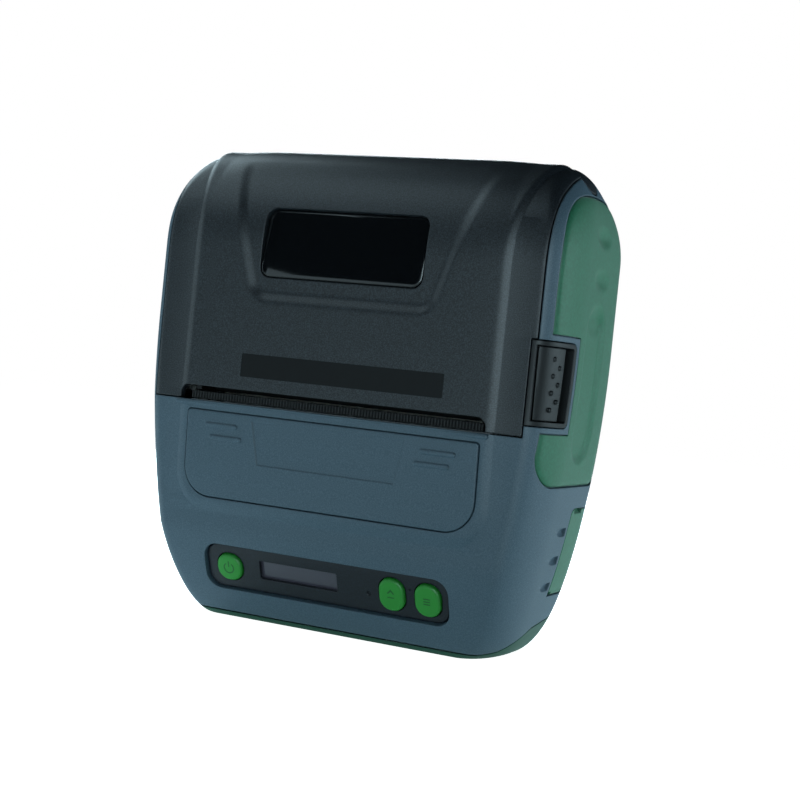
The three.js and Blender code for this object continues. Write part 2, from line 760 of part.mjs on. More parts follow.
// Channel and thumb dimples on a grip
const channelShift = 6;          // the channel starts this far before the roll's middle
const channelFront = bayY - channelShift;
const channelWide = 13;
const channelCorner = 6;
const channelRise = 3.5;
const channelDrop = 2;
const channelBottom = gripBottom + channelRise;
const channelTop = gripDomeFoot - channelDrop;
const channelDepth = 0.5;
const dimpleRises = [19, 8, -3];               // above the foot of the grip's dome
const dimpleShift = 10;
const dimpleY = bayY + dimpleShift;
const dimpleDeep = 2.2;          // half axes of the ellipsoid that presses a dimple
const dimpleWide = 4.4;
const dimpleTall = 4.6;
const dimpleLift = 1.4;

function gripShape(side) {
  let grip = gripTool(side, 0).intersect(gripSkin);
  const channelTool = prismX(
    roundedRect(channelFront, channelFront + channelWide, channelBottom, channelTop, same(channelCorner)),
    side > 0 ? baseHalf : -waistHalf - overrun, side > 0 ? waistHalf + overrun : -baseHalf);
  const channelSkin = cut(hull(-channelDepth), hull(channelDepth));
  grip = cut(grip, channelTool.intersect(channelSkin));
  for (const rise of dimpleRises) {
    const height = gripDomeFoot + rise;
    const ball = new THREE.SphereGeometry(1, 12, 6);
    ball.scale(dimpleDeep, dimpleWide, dimpleTall);
    ball.translate(side * (halfWidthAt(height) + dimpleLift), dimpleY, height);
    grip = cut(grip, solidOf(ball));
  }
  return grip;
}

const gripPocketRight = gripTool(1, gap).intersect(gripSink);
const gripPocketLeft = gripTool(-1, gap).intersect(gripSink);

addPiece(group, 'side_grip_right', gripShape(1), gripFinish);
addPiece(group, 'side_grip_left', gripShape(-1), gripFinish);

// Latch recess: a black cup let into the corner, open to the front and the side
const cupWall = 1.2;
const latchHole = block(latchLeft - gap, waistHalf + overrun, hullFront - overrun, latchRear + gap,
  latchBottom - gap, latchTop + gap);
const latchMiddle = (latchBottom + latchTop) / 2;
const latchTravel = 1.5;
const latchInset = 0.8;          // the button lies this deep below the hull's skin
const latchRearGap = 3.2;        // room behind the button, which it slides into
const stemRadius = 1.6;
const stemBehind = 7.5;
const stemY = hullFront + stemBehind;
const stemReach = 3.3;
const latchSpringRadius = 0.9;
const latchSpringWire = 0.25;
const springPocket = 2;          // the button is hollow behind this deep round its spring
const pocketWall = 0.5;
const pocketRadius = latchSpringRadius + latchSpringWire + gap;
const latchSpringX = latchLeft + cupWall + gap + pocketWall + pocketRadius;
const dotRadius = 0.65;
const dotRise = 0.45;
const dotAngle = -42;           // direction of the dotted face, degrees from +X
const dotShift = 1.5;            // of each row from the middle line
const dotRows = [{ shift: -dotShift, count: 4 }, { shift: dotShift, count: 3 }];
const dotPitch = 4.4;

function latchCup() {
  const outside = block(latchLeft, waistHalf + overrun, hullFront - overrun, latchRear, latchBottom,
    latchTop);
  const room = block(latchLeft + cupWall, waistHalf + overrun, hullFront - overrun, latchRear - cupWall,
    latchBottom + cupWall, latchTop - cupWall);
  const slot = block(latchLeft - overrun, latchLeft + overrun, stemY - stemRadius - gap,
    stemY + stemRadius + latchTravel + gap, latchMiddle - stemRadius - gap, latchMiddle + stemRadius + gap);
  return cut(outside.intersect(hull(0)), room, slot);
}

addPiece(group, 'latch_cup', latchCup(), blackFinish);

// Latch button: follows the corner of the hull, with seven raised dots
function latchButton() {
  const face = block(latchLeft + cupWall + gap, waistHalf + overrun, hullFront - overrun,
    latchRear - cupWall - latchRearGap, latchBottom + cupWall + gap, latchTop - cupWall - gap);
  let button = face.intersect(hull(latchInset));
  const reachWide = frontCornerWide - latchInset;
  const reachLong = frontCornerLong - latchInset;
  for (const { shift, count } of dotRows) {
    for (let k = 0; k < count; k += 1) {
      const angle = rad(dotAngle) + shift / reachLong;
      const dot = new THREE.CylinderGeometry(dotRadius, dotRadius, 2 * dotRise, 10);
      dot.rotateZ(-Math.PI / 2);
      dot.rotateZ(angle);
      const height = latchMiddle + (k - (count - 1) / 2) * dotPitch;
      dot.translate(halfWidthAt(height) - frontCornerWide + reachWide * Math.cos(angle),
        frontAt(height) + frontCornerLong + reachLong * Math.sin(angle), height);
      button = join(button, solidOf(dot));
    }
  }
  const stemEnd = latchLeft + cupWall + gap;
  const buttonRear = latchRear - cupWall - latchRearGap;
  const pocket = rodY(latchSpringX, latchMiddle, pocketRadius, buttonRear - springPocket, buttonRear + overrun);
  const stem = rodX(stemY, latchMiddle, stemRadius, stemEnd - stemReach, stemEnd + gap, 12);
  return join(cut(button, pocket), stem);
}

addPiece(group, 'latch_button', latchButton(), blackFinish);

// Lid
const windowDraw = 40;           // narrower than the waist on each side
const windowHalf = waistHalf - windowDraw;
const windowTall = 18.4;
const windowDrop = 36.5;         // its foot is this far below the hull's top
const windowFootZ = hullTop - windowDrop;
const windowThick = 1.4;
const windowCorner = 3;
const windowSink = 0.9;          // floor of the lid's recess below the shield
const recessBelow = 4.8;         // from the window's foot down
const recessFootZ = windowFootZ - recessBelow;
const recessBeside = 5.6;
const recessFootHalf = windowHalf + recessBeside;
const recessTopDrop = 4.5;
const recessTopZ = hullTop - recessTopDrop;
const recessFlare = 12;          // its top is this much wider than its foot on each side
const recessTopHalf = recessFootHalf + recessFlare;
const recessCorner = 5;
const recessCornerShare = 0.3;   // place of the corner's middle point
const recessBevel = 2.4;
const recessSlope = 1.2;
const recessDeep = 1.5;
const windowLeanAngle = 9.677;
const windowAngle = rad(windowLeanAngle);

const windowPlane = new THREE.Group();
windowPlane.position.set(0, hullFront - shieldRise + windowSink, windowFootZ);
windowPlane.rotation.x = -windowAngle;

// Sloped-sided U recess: deepest at its foot, running out to nothing near the top
function lidRecess() {
  const floorTool = [];
  const path = withNormals(sidePath()).filter(({ y, z }) => z > recessFootZ - overrun && y < domeMiddle);
  const outer = path.map(({ y, z, ny, nz }) => [y + ny * overrun, z + nz * overrun]);
  const inner = path.map(({ y, z, ny, nz }) => {
    const share = Math.max(0, Math.min(1, (recessTopZ - z) / (recessTopZ - domeFoot)));
    const depth = shieldRise - recessDeep * Math.sqrt(share);
    return [y + ny * depth, z + nz * depth];
  });
  floorTool.push(...inner, ...outer.reverse());
  const slab = prismX(floorTool.reverse(), -recessTopHalf - recessBevel, recessTopHalf + recessBevel);
  const ringAt = (y, shrink) => {
    const foot = recessFootHalf - shrink;
    const top = recessTopHalf - shrink / 2;
    const low = recessFootZ + shrink;
    const c = recessCorner;
    const bend = c * recessCornerShare;
    return [
      [-foot + c, y, low], [foot - c, y, low], [foot - bend, y, low + bend], [foot, y, low + c],
      [top, y, recessTopZ + overrun], [-top, y, recessTopZ + overrun],
      [-foot, y, low + c], [-foot + bend, y, low + bend],
    ];
  };
  const y0 = hullFront - shieldRise;
  const shrink = recessBevel + recessSlope;
  const funnel = loft([ringAt(hullRear, shrink), ringAt(y0 + shieldRise, shrink), ringAt(y0, 0),
    ringAt(y0 - overrun, 0)]);
  return slab.intersect(funnel);
}

function windowOutline(grow) {
  return roundedRect(-windowHalf - grow, windowHalf + grow, -grow, windowTall + grow,
    same(windowCorner + grow));
}

const slotCut = prismY(
  roundedRect(-slotHalf, slotHalf, slotHeight - slotOpen, slotHeight + slotOpen,
    same(slotOpen * slotRoundShare)),
  hullFront - overrun, hullFront + wall + overrun / 2);
const windowPocket = inCase(prismY(windowOutline(gap), -overrun, windowThick + gap), windowPlane);
const lugOuter = barrelHalf + gap + lugThick;
const pinEnd = lugOuter;
const barrelBore = rodX(hingeY, hingeZ, hingePinRadius + gap, -pinEnd, pinEnd, 16);
const lugRooms = [-1, 1].map((side) => rodX(hingeY, hingeZ, barrelRadius + seamGap,
  side > 0 ? barrelHalf : -lugOuter - 2 * gap, side > 0 ? lugOuter + 2 * gap : -barrelHalf, 24));

function lidShell() {
  const skin = shell.intersect(lidZone);
  const roundedBack = rodX(hingeY, hingeZ, barrelRadius, -waistHalf, waistHalf, 24).intersect(hullSolid);
  return cut(join(skin, roundedBack), lidCornerCut, slotCut, ...lugRooms, barrelBore, lidRecess(),
    windowPocket);
}

addPiece(group, 'lid_shell', lidShell(), lidFinish);
group.add(windowPlane);
addPiece(windowPlane, 'lid_window', prismY(windowOutline(0), 0, windowThick), glossFinish);
addPiece(group, 'hinge_pin',
  rodX(hingeY, hingeZ, hingePinRadius, gap - pinEnd, pinEnd - gap, 16), steelFinish);

// Lid liner: a smooth inner skin before the paper room
const linerBeyond = 3.5;
const linerHalf = paperHalf + linerBeyond;
const linerThick = 1.2;
const linerRise = 19;            // above the slot
const linerDrop = 6.5;           // below the hull's top
const linerFootZ = slotHeight + linerRise;
const linerTopZ = hullTop - linerDrop;

const linerSkin = cut(hull(wall + gap), hull(wall + gap + linerThick));
addPiece(group, 'lid_liner',
  linerSkin.intersect(block(-linerHalf, linerHalf, -bodyDepth, domeMiddle, linerFootZ, linerTopZ)),
    blackFinish);

// Platen and its carrier in the lid
const platenRise = 7;            // above the slot
const platenY = hullFront + platenBehind;
const platenZ = slotHeight + platenRise;
const platenRadius = 4.5;
const platenBeyond = 2;
const platenHalf = paperHalf + platenBeyond;
const frameHalf = paperHalf + frameBeyond;
const shaftRadius = 1.5;
const shaftBeyond = 4;
const shaftRight = frameHalf + shaftBeyond;
const bushRadius = 2.6;
const bushFlange = 0.7;
const bushLip = 1;
const earBeyond = 1.2;           // beside the platen's roller
const earThick = 1.6;
const earInner = platenHalf + earBeyond;
const earOuter = earInner + earThick;
const earLeadShare = 0.18;       // the ear's front foot rises by this share of its height
const carrierTop = linerFootZ - gap;
const carrierRise = 1.6;
const carrierBottom = slotHeight + carrierRise;
const earRear = platenY + bushRadius + earThick;

function platenCarrier() {
  const back = hullFront + wall + gap;
  const lead = (platenZ - carrierBottom) * earLeadShare;
  const plate = block(-earOuter, earOuter, back, back + linerThick, slotHeight + slotOpen, carrierTop);
  const ears = [-1, 1].map((side) => {
    const outline = [
      [back, carrierBottom + lead], [platenY + lead, carrierBottom], [earRear, platenZ - bushRadius],
      [earRear, platenZ + bushRadius], [back + linerThick, carrierTop], [back, carrierTop],
    ];
    return prismX(outline, side > 0 ? earInner : -earOuter, side > 0 ? earOuter : -earInner);
  });
  return cut(join(plate, ...ears), rodX(platenY, platenZ, bushRadius + gap, -waistHalf, waistHalf, 20));
}

function platenBush(side) {
  const barrelPart = rodX(platenY, platenZ, bushRadius, earInner, earOuter + bushFlange, 14);
  const flange = rodX(platenY, platenZ, bushRadius + bushLip, earOuter + gap, earOuter + gap
    + bushFlange, 20);
  const bush = cut(join(barrelPart, flange),
    rodX(platenY, platenZ, shaftRadius + gap, earInner - overrun, earOuter + overrun, 12));
  return side > 0 ? bush : solidOf(mirrorX(geometryOf(bush)));
}

// The same shape on the other side of the case, its faces turned to point out again
function mirrorX(geometry) {
  const copy = geometry.clone();
  copy.scale(-1, 1, 1);
  const index = copy.index.array;
  for (let i = 0; i < index.length; i += 3) {
    [index[i], index[i + 1]] = [index[i + 1], index[i]];
  }
  return copy;
}

addPiece(group, 'platen_carrier', platenCarrier(), blackFinish);
addPiece(group, 'platen_bush_right', platenBush(1), acetalFinish);
addPiece(group, 'platen_bush_left', platenBush(-1), acetalFinish);

// Gear train on the left: platen, two idlers, motor
const gearModule = 0.6;
const gearRight = -frameHalf - gearBeside;
const gearLeft = gearRight - gearWide;
const platenTeeth = 16;
const idlerTeeth = 24;
const motorTeeth = 12;
const trainAngles = [-15, -100, -80];      // direction of each next axis, degrees from +Y
const idlerPinRadius = 1.1;

// Shape of every tooth, in shares of the tooth step and of the module
const toothRootShare = 0.31;
const toothTipShare = 0.12;
const toothTipRise = 0.85;

function toothPoints(root, tip) {
  return [[-toothRootShare, root], [-toothTipShare, tip], [toothTipShare, tip], [toothRootShare, root]];
}

function gearAxis(from, angle, teethA, teethB) {
  const distance = (gearModule * (teethA + teethB)) / 2 + meshClearance;
  return [from[0] + distance * Math.cos(rad(angle)), from[1] + distance * Math.sin(rad(angle))];
}

const upperIdler = gearAxis([platenY, platenZ], trainAngles[0], platenTeeth, idlerTeeth);
const lowerIdler = gearAxis(upperIdler, trainAngles[1], idlerTeeth, idlerTeeth);
const motorAxis = gearAxis(lowerIdler, trainAngles[2], idlerTeeth, motorTeeth);

// Spur gear with straight-flanked teeth; one tooth points along phase, degrees from +Y
function gear(center, teeth, bore, phase) {
  const pitch = (gearModule * teeth) / 2;
  const step = (4 * quarterTurn) / teeth;
  const points = [];
  for (let k = 0; k < teeth; k += 1) {
    for (const [share, radius] of toothPoints(pitch - gearModule, pitch + gearModule * toothTipRise)) {
      const angle = rad(phase + (k + share) * step);
      points.push([center[0] + radius * Math.cos(angle), center[1] + radius * Math.sin(angle)]);
    }
  }
  const blank = prismX(points, gearLeft, gearRight);
  return cut(blank, rodX(center[0], center[1], bore, gearLeft - overrun, gearRight + overrun, 10));
}

// Phase of the next gear so that a gap of it takes the tooth of the last one
function meshedPhase(lastPhase, lastTeeth, teeth, angle) {
  const lastStep = (4 * quarterTurn) / lastTeeth;
  const offset = (angle - lastPhase) / lastStep;
  const share = offset - Math.floor(offset);
  return angle + 2 * quarterTurn + ((share + 0.5) * 4 * quarterTurn) / teeth;
}

const platenPhase = trainAngles[0];
const upperPhase = meshedPhase(platenPhase, platenTeeth, idlerTeeth, trainAngles[0]);
const lowerPhase = meshedPhase(upperPhase, idlerTeeth, idlerTeeth, trainAngles[1]);
const motorPhase = meshedPhase(lowerPhase, idlerTeeth, motorTeeth, trainAngles[2]);

function platenShaft() {
  return join(
    rodX(platenY, platenZ, shaftRadius, gearRight + gap, shaftRight, 16),
    rodX(platenY, platenZ, shaftRadius - gap, gearLeft, gearRight + 2 * gap, 16));
}

addPiece(group, 'platen_shaft', platenShaft(), steelFinish);
addPiece(group, 'platen_roller', cut(rodX(platenY, platenZ, platenRadius, -platenHalf, platenHalf, 28),
  rodX(platenY, platenZ, shaftRadius + gap, -platenHalf - overrun, platenHalf + overrun, 16)), rubberFinish);
addPiece(group, 'platen_gear', gear([platenY, platenZ], platenTeeth, shaftRadius, platenPhase),
  acetalFinish);
addPiece(group, 'idler_gear_upper', gear(upperIdler, idlerTeeth, idlerPinRadius + gap, upperPhase),
  acetalFinish);
addPiece(group, 'idler_gear_lower', gear(lowerIdler, idlerTeeth, idlerPinRadius + gap, lowerPhase),
  acetalFinish);

// Mechanism frame: floor, two side plates, spring wall and the gear pins
const framePlate = 1.4;
const frameFloorDrop = 6;        // below the slot
const frameFloor = slotHeight - frameFloorDrop;
const frameSideBehind = 6;       // behind the platen's axis
const frameSideLong = 9.5;
const frameSideRise = 2;         // above the platen's axis
const frameNoseRise = 2;         // the right plate's front corner stands higher
const frameSideFront = platenY + frameSideBehind;
const frameSideRear = frameSideFront + frameSideLong;
const frameSideTop = platenZ + frameSideRise;
const springWallBehind = 13.1;
const springWallRise = 4.2;
const springWallY = platenY + springWallBehind;
const springWallTop = slotHeight + springWallRise;
const motorRadius = 7.5;
const motorLength = 16;
const motorShaftReach = 8;         // how far the shaft runs into the motor
const motorShaftRadius = 1;
const motorHoleRoom = 1;
const leverBehind = 6.5;         // behind the platen's axis
const leverY = platenY + leverBehind;
const leverZ = frameSideTop;
const leverPinRadius = 1.2;
const leverBoss = 2.4;
const leverLeft = frameHalf + framePlate + gap;
const leverThick = 1.2;
const headPivotDrop = 2;         // below the slot
const headPivotY = platenY + headPivotBehind;
const headPivotZ = slotHeight - headPivotDrop;
const headPivotRadius = 1.1;

function mechanismFrame() {
  const floorFront = frontAt(frameFloor) + wall + gap;
  const floor = block(-frameHalf, frameHalf, floorFront, frameSideRear, frameFloor, frameFloor + framePlate);
  const lipWall = block(-frameHalf, frameHalf, floorFront, floorFront + framePlate, frameFloor,
    slotHeight - gap);
  const springWall = block(-frameHalf, frameHalf, springWallY, springWallY + framePlate, frameFloor,
    springWallTop);
  const outerLeft = -frameHalf - framePlate;
  const motorFoot = motorAxis[1] - motorRadius;
  const left = prismX([
    [motorAxis[0] - motorRadius, motorFoot], [motorAxis[0] + motorRadius, motorFoot],
    [frameSideRear, frameSideTop], [frameSideFront, frameSideTop],
    [frameSideFront, frameFloor], [motorAxis[0] - motorRadius, frameFloor],
  ], outerLeft, -frameHalf);
  const right = prismX([
    [frameSideFront, frameFloor], [frameSideRear, frameFloor], [frameSideRear, frameSideTop],
    [frameSideFront, frameSideTop + frameNoseRise], [leverY - leverBoss, frameSideTop + frameNoseRise],
    [leverY - leverBoss, leverZ - leverBoss],
  ], frameHalf, frameHalf + framePlate);
  const pins = [upperIdler, lowerIdler].map(
    ([y, z]) => rodX(y, z, idlerPinRadius, gearLeft, outerLeft + gap, 12));
  const leverPin = rodX(leverY, leverZ, leverPinRadius, frameHalf, leverLeft + leverThick, 12);
  const motorHole = rodX(motorAxis[0], motorAxis[1], motorShaftRadius + motorHoleRoom,
    outerLeft - overrun, -frameHalf + overrun, 14);
  const pivotHole = rodX(headPivotY, headPivotZ, headPivotRadius + gap, -waistHalf, waistHalf, 14);
  return join(cut(join(floor, lipWall, springWall, left, right), motorHole, pivotHole), ...pins, leverPin);
}

addPiece(group, 'mechanism_frame', mechanismFrame(), steelFinish);

// Stepper motor under the frame, its shaft through the left plate
const terminalFrom = 4;          // from the motor's face
const terminalLong = 10;
const terminalHalf = 4;
const terminalProud = 1.5;
const terminalRoot = 2;

function stepperMotor() {
  const [y, z] = motorAxis;
  const can = rodX(y, z, motorRadius, -frameHalf + gap, -frameHalf + gap + motorLength, 28);
  const from = -frameHalf + terminalFrom;
  const terminal = block(from, from + terminalLong, y + motorRadius - terminalRoot,
    y + motorRadius + terminalProud, z - terminalHalf, z + terminalHalf);
  return cut(join(can, terminal),
    rodX(y, z, motorShaftRadius + gap, -waistHalf, -frameHalf + motorShaftReach + gap, 14));
}

addPiece(group, 'stepper_motor', stepperMotor(), steelFinish);
addPiece(group, 'motor_shaft',
  rodX(motorAxis[0], motorAxis[1], motorShaftRadius, gearLeft, -frameHalf + motorShaftReach, 14),
    steelFinish);
addPiece(group, 'motor_gear', gear(motorAxis, motorTeeth, motorShaftRadius + gap, motorPhase), acetalFinish);

// Print head: ceramic strip on an aluminium heat sink that tilts on a pin, pressed by two springs
const headFront = platenY + platenRadius + gap;
const headThick = 1.2;
const headBeyond = 1;            // past the platen's roller on each side
const headHalf = platenHalf + headBeyond;
const headFootDrop = 3.4;        // below the slot
const headTall = 14.4;
const headBottom = slotHeight - headFootDrop;
const headTop = headBottom + headTall;
const ceramicRise = 3;           // the ceramic strip starts this far above the heat sink's foot
const sinkBack = headPivotY + sinkBehindPivot;
const ribPlaces = [-2, -1, 0, 1, 2];
const ribStep = 15;
const ribThick = 1.4;
const ribProud = 1;
const ribFootRise = 5;
const springRadius = 1.9;
const springX = 22;
const springRise = 2;            // above the slot
const springZ = slotHeight + springRise;
const springWire = 0.35;
const springCoils = 4;

addPiece(group, 'print_head', block(-headHalf, headHalf, headFront, headFront + headThick,
  headBottom + ceramicRise, headTop), ceramicFinish);

function heatSink() {
  const front = headFront + headThick + gap;
  const plate = block(-headHalf, headHalf, front, sinkBack, headBottom, headTop);
  const ribs = ribPlaces.map((place) => block(place * ribStep - ribThick / 2, place * ribStep + ribThick / 2,
    sinkBack - gap, sinkBack + ribProud, headBottom + ribFootRise, headTop - ribProud));
  return cut(join(plate, ...ribs), rodX(headPivotY, headPivotZ, headPivotRadius + gap, -waistHalf,
    waistHalf, 14));
}

addPiece(group, 'heat_sink', heatSink(), aluminiumFinish);
addPiece(group, 'head_pivot_pin', rodX(headPivotY, headPivotZ, headPivotRadius, -frameHalf - framePlate,
  frameHalf + framePlate, 14), steelFinish);

// Coil spring along +Z from its foot, one unbroken wire with 8 steps of 4 sides a turn
function coilSpring(radius, wire, coils, length) {
  const stepsPerTurn = 8;
  const sides = 4;
  const curve = new THREE.CatmullRomCurve3(Array.from({ length: coils * stepsPerTurn + 1 }, (_, k) => {
    const angle = (2 * Math.PI * k) / stepsPerTurn;
    const height = (length * k) / (coils * stepsPerTurn);
    return new THREE.Vector3(radius * Math.cos(angle), radius * Math.sin(angle), height);
  }));
  const section = new THREE.Shape(Array.from({ length: sides }, (_, k) => {
    const angle = (2 * Math.PI * k) / sides;
    return new THREE.Vector2(wire * Math.cos(angle), wire * Math.sin(angle));
  }));
  return new THREE.ExtrudeGeometry(section, { steps: coils * stepsPerTurn, bevelEnabled: false,
    extrudePath: curve });
}

const headSpringFront = sinkBack + gap + springWire;
const headSpringLength = springWallY - gap - springWire - headSpringFront;
for (const [name, side] of [['head_spring_left', -1], ['head_spring_right', 1]]) {
  const spring = addPiece(group, name, coilSpring(springRadius, springWire, springCoils,
    headSpringLength), steelFinish);
  spring.position.set(side * springX, headSpringFront, springZ);
  spring.rotation.x = -Math.PI / 2;
}

// Tear bar behind the lip of the slot
const tearPitch = 2.4;
const tearTooth = 0.9;
const tearRise = 2.3;            // above the slot's lip
const tearTop = slotHeight + tearRise;
const tearInset = 0.2;
const tearFront = hullFront + tearInset;
const tearThick = 1;
const tearShelf = 5;
const tearShelfThick = 0.6;
const tearFoot = slotHeight - seamGap + gap;

function tearBar() {
  const half = slotHalf - gap - tearThick;
  const count = Math.floor((2 * half) / tearPitch);
  const points = [[half, tearFoot], [half, tearTop - tearTooth]];
  for (let k = count; k > 0; k -= 1) {
    const x = -half + ((2 * half) * k) / count;
    points.push([x - half / count, tearTop], [x - (2 * half) / count, tearTop - tearTooth]);
  }
  points.push([-half, tearFoot]);
  const blade = prismY(points, tearFront, tearFront + tearThick);
  const shelf = block(-half, half, tearFront, tearFront + tearShelf, tearFoot, tearFoot + tearShelfThick);
  return join(blade, shelf);
}

addPiece(group, 'tear_bar', tearBar(), steelFinish);

// Latch lever: its tail stands behind the button's stem, its hook over the platen's shaft
const leverBefore = 4.1;         // before the platen's axis
const noseBehind = 1.5;
const leverFront = platenY - leverBefore;
const noseRear = platenY + noseBehind;
const noseTall = 1.6;
const tailAbove = 2;             // above the stem's middle
const tailThick = 1.6;
const leverTailY = stemY + stemRadius + gap;

function latchLever() {
  const arcRadius = Math.hypot(platenZ - hingeZ, platenY - hingeY) - shaftRadius - gap;
  const under = (y) => hingeZ - Math.sqrt(arcRadius ** 2 - (y - hingeY) ** 2);
  const tailTop = latchMiddle + tailAbove;
  const noseTop = under(leverFront) + noseTall;
  const arm = prismX([
    [leverFront, under(leverFront)], [leverFront + noseTall, under(leverFront + noseTall)],
    [noseRear, under(noseRear)], [leverY - leverBoss / 2, leverZ - leverBoss],
    [leverY + leverBoss / 2, leverZ - leverBoss], [leverY + leverBoss, leverZ],
    [leverY + leverBoss / 2, leverZ + leverBoss],
    [leverTailY + tailThick, tailTop], [leverTailY, tailTop], [leverTailY, noseTop], [leverFront, noseTop],
  ], leverLeft, leverLeft + leverThick);
  const tab = block(leverLeft, latchLeft - gap, leverTailY, leverTailY + tailThick,
    latchMiddle - stemRadius, tailTop);
  return cut(join(arm, tab), rodX(leverY, leverZ, leverPinRadius + gap, leverLeft - overrun,
    leverLeft + overrun, 14));
}

addPiece(group, 'latch_lever', latchLever(), steelFinish);

// Latch spring, drawn as long as it is when pressed, from the pocket in the button to the cup's rear wall
const latchSpringCoils = 3;
const latchSpringRear = latchRear - cupWall - gap - latchSpringWire;
const latchSpringFront = latchRear - cupWall - latchRearGap - springPocket + latchTravel + gap
  + latchSpringWire;
const latchSpring = addPiece(group, 'latch_spring',
  coilSpring(latchSpringRadius, latchSpringWire, latchSpringCoils, latchSpringRear - latchSpringFront),
    steelFinish);
latchSpring.position.set(latchSpringX, latchSpringFront, latchMiddle);
latchSpring.rotation.x = -Math.PI / 2;

// Paper room: a trough with two side walls that carry the hinge lugs
const baySideGap = 0.5;
const baySideInner = frameHalf - baySideGap;
const baySideOuter = baySideInner + bayWall;
const baySideDrop = 4.5;         // below the hinge
const baySideTop = hingeZ - baySideDrop;
const bayBackRoom = 4.4;         // its foot stands this far above the frame
const sideStartAngle = -75;
const sideSteps = 7;
const lugReaches = [9, 2, -5];                 // corners round the lug, behind the hinge
const lugDrops = [2, 0, 4];                    // and below the plate's top
const baySideShares = [                        // front edge, in shares of the roll room's radius
  [-0.826, 0.609], [-0.935, 0.174], [-0.935, -0.609], [-0.626, -0.809],
];
const neckFront = 2;             // neck of the hinge lug: before, behind and below the hinge
const neckRear = 4;
const neckTopRear = 3;
const neckFoot = 6;
const guideFootWide = 6;
const slitLong = 18.2;
const troughStartAngle = -127;
const troughEndAngle = 12;
const troughSteps = 14;

function arcPoints(y, z, radius, from, to, steps) {
  return Array.from({ length: steps + 1 }, (_, k) => {
    const angle = rad(from + ((to - from) * k) / steps);
    return [y + radius * Math.cos(angle), z + radius * Math.sin(angle)];
  });
}

function paperBay() {
  const trough = prismX([
    ...arcPoints(bayY, bayZ, bayRadius + bayWall, troughStartAngle, troughEndAngle, troughSteps),
    ...arcPoints(bayY, bayZ, bayRadius, troughEndAngle, troughStartAngle, troughSteps),
  ], gap - frameHalf, frameHalf - gap);
  const sideOutline = [
    ...arcPoints(bayY, bayZ, bayRadius + bayWall, sideStartAngle, troughEndAngle, sideSteps),
    ...lugReaches.map((reach, k) => [hingeY + reach, baySideTop - lugDrops[k]]),
    ...baySideShares.map(([share, rise]) => [bayY + share * bayRadius, bayZ + rise * bayRadius]),
    [frameSideRear, frameSideTop + bayBackRoom],
  ];
  const slits = [-1, 1].map((side) => block(
    side > 0 ? guideOuter - slitLong : -guideOuter - gap, side > 0 ? guideOuter
      + gap : slitLong - guideOuter,
    bayY - guideFootWide / 2 - gap, bayY + guideFootWide / 2 + gap, bayZ - bayRadius - overrun, bayZ));
  const sides = [-1, 1].map((side) => {
    const plate = prismX(sideOutline, side > 0 ? baySideInner : -baySideOuter,
      side > 0 ? baySideOuter : -baySideInner);
    const from = side > 0 ? barrelHalf + gap : -baySideInner - gap;
    const to = side > 0 ? baySideInner + gap : -barrelHalf - gap;
    const neck = prismX([
      [hingeY - neckFront, baySideTop - neckFoot], [hingeY + neckRear, baySideTop - neckFoot],
      [hingeY + neckTopRear, hingeZ], [hingeY - neckFront, hingeZ],
    ], from, to);
    return join(plate, neck, rodX(hingeY, hingeZ, barrelRadius - gap, from, side > 0 ? lugOuter : to, 20)
      .intersect(block(side > 0 ? from : -lugOuter, side > 0 ? lugOuter : to, -bodyDepth, bodyDepth, 0,
        bodyHeight)));
  });
  const bore = rodX(hingeY, hingeZ, hingePinRadius + gap, -pinEnd, pinEnd, 16);
  return cut(join(trough, ...sides), ...slits, bore);
}

// Paper guides with their racks, and the pinion that keeps them centred
const guideBeyond = 2.2;
const guideOuter = paperHalf + guideBeyond;
const guideThick = 1.6;
const guideInset = 4;            // smaller than the roll's room
const guideRadius = bayRadius - guideInset;
const guideHub = 6;
const guideHubProud = 2;
const guideRoot = 2;
const rackBottom = slotHeight + rackRise;
const rackTop = rackBottom + rackThick;
const rackEnd = 5;
const rackTeethFrom = -18;

addPiece(group, 'paper_bay', paperBay(), blackFinish);

// Written for the left guide, whose rack runs before the pinion; the right one is the same turned half round
function paperGuide() {
  const disc = rodX(bayY, bayZ, guideRadius, -guideOuter, guideThick - guideOuter, 24);
  const hub = rodX(bayY, bayZ, guideHub, -guideOuter, guideThick + guideHubProud - guideOuter, 14);
  const foot = block(-guideOuter, guideThick - guideOuter, bayY - guideFootWide / 2, bayY
    + guideFootWide / 2,
    rackBottom, bayZ - guideRadius + guideRoot);
  const pitchLine = bayY - pinionRadius - meshClearance;
  const rootLine = pitchLine - rackModule;
  const tipLine = pitchLine + rackModule * toothTipRise;
  const pitch = Math.PI * rackModule;
  const first = Math.ceil(rackTeethFrom / pitch);
  const last = Math.floor((rackEnd - pitch) / pitch);
  const outline = [[-guideOuter, rootLine - rackBack], [rackEnd, rootLine - rackBack], [rackEnd, rootLine]];
  for (let k = last; k >= first; k -= 1) {
    for (const [share, line] of toothPoints(rootLine, tipLine)) {
      outline.push([(k - share) * pitch, line]);
    }
  }
  outline.push([-guideOuter, rootLine]);
  const rack = prismZ(outline, rackBottom, rackTop);
  const bridge = block(-guideOuter, guideThick - guideOuter, rootLine - rackBack, bayY, rackBottom, rackTop);
  return join(disc, hub, foot, rack, bridge);
}

const leftGuide = paperGuide();
addPiece(group, 'paper_guide_left', leftGuide, blackFinish);
const rightGuideGeometry = geometryOf(leftGuide);
rightGuideGeometry.translate(0, -bayY, 0);
rightGuideGeometry.rotateZ(Math.PI);
rightGuideGeometry.translate(0, bayY, 0);
addPiece(group, 'paper_guide_right', rightGuideGeometry, blackFinish);

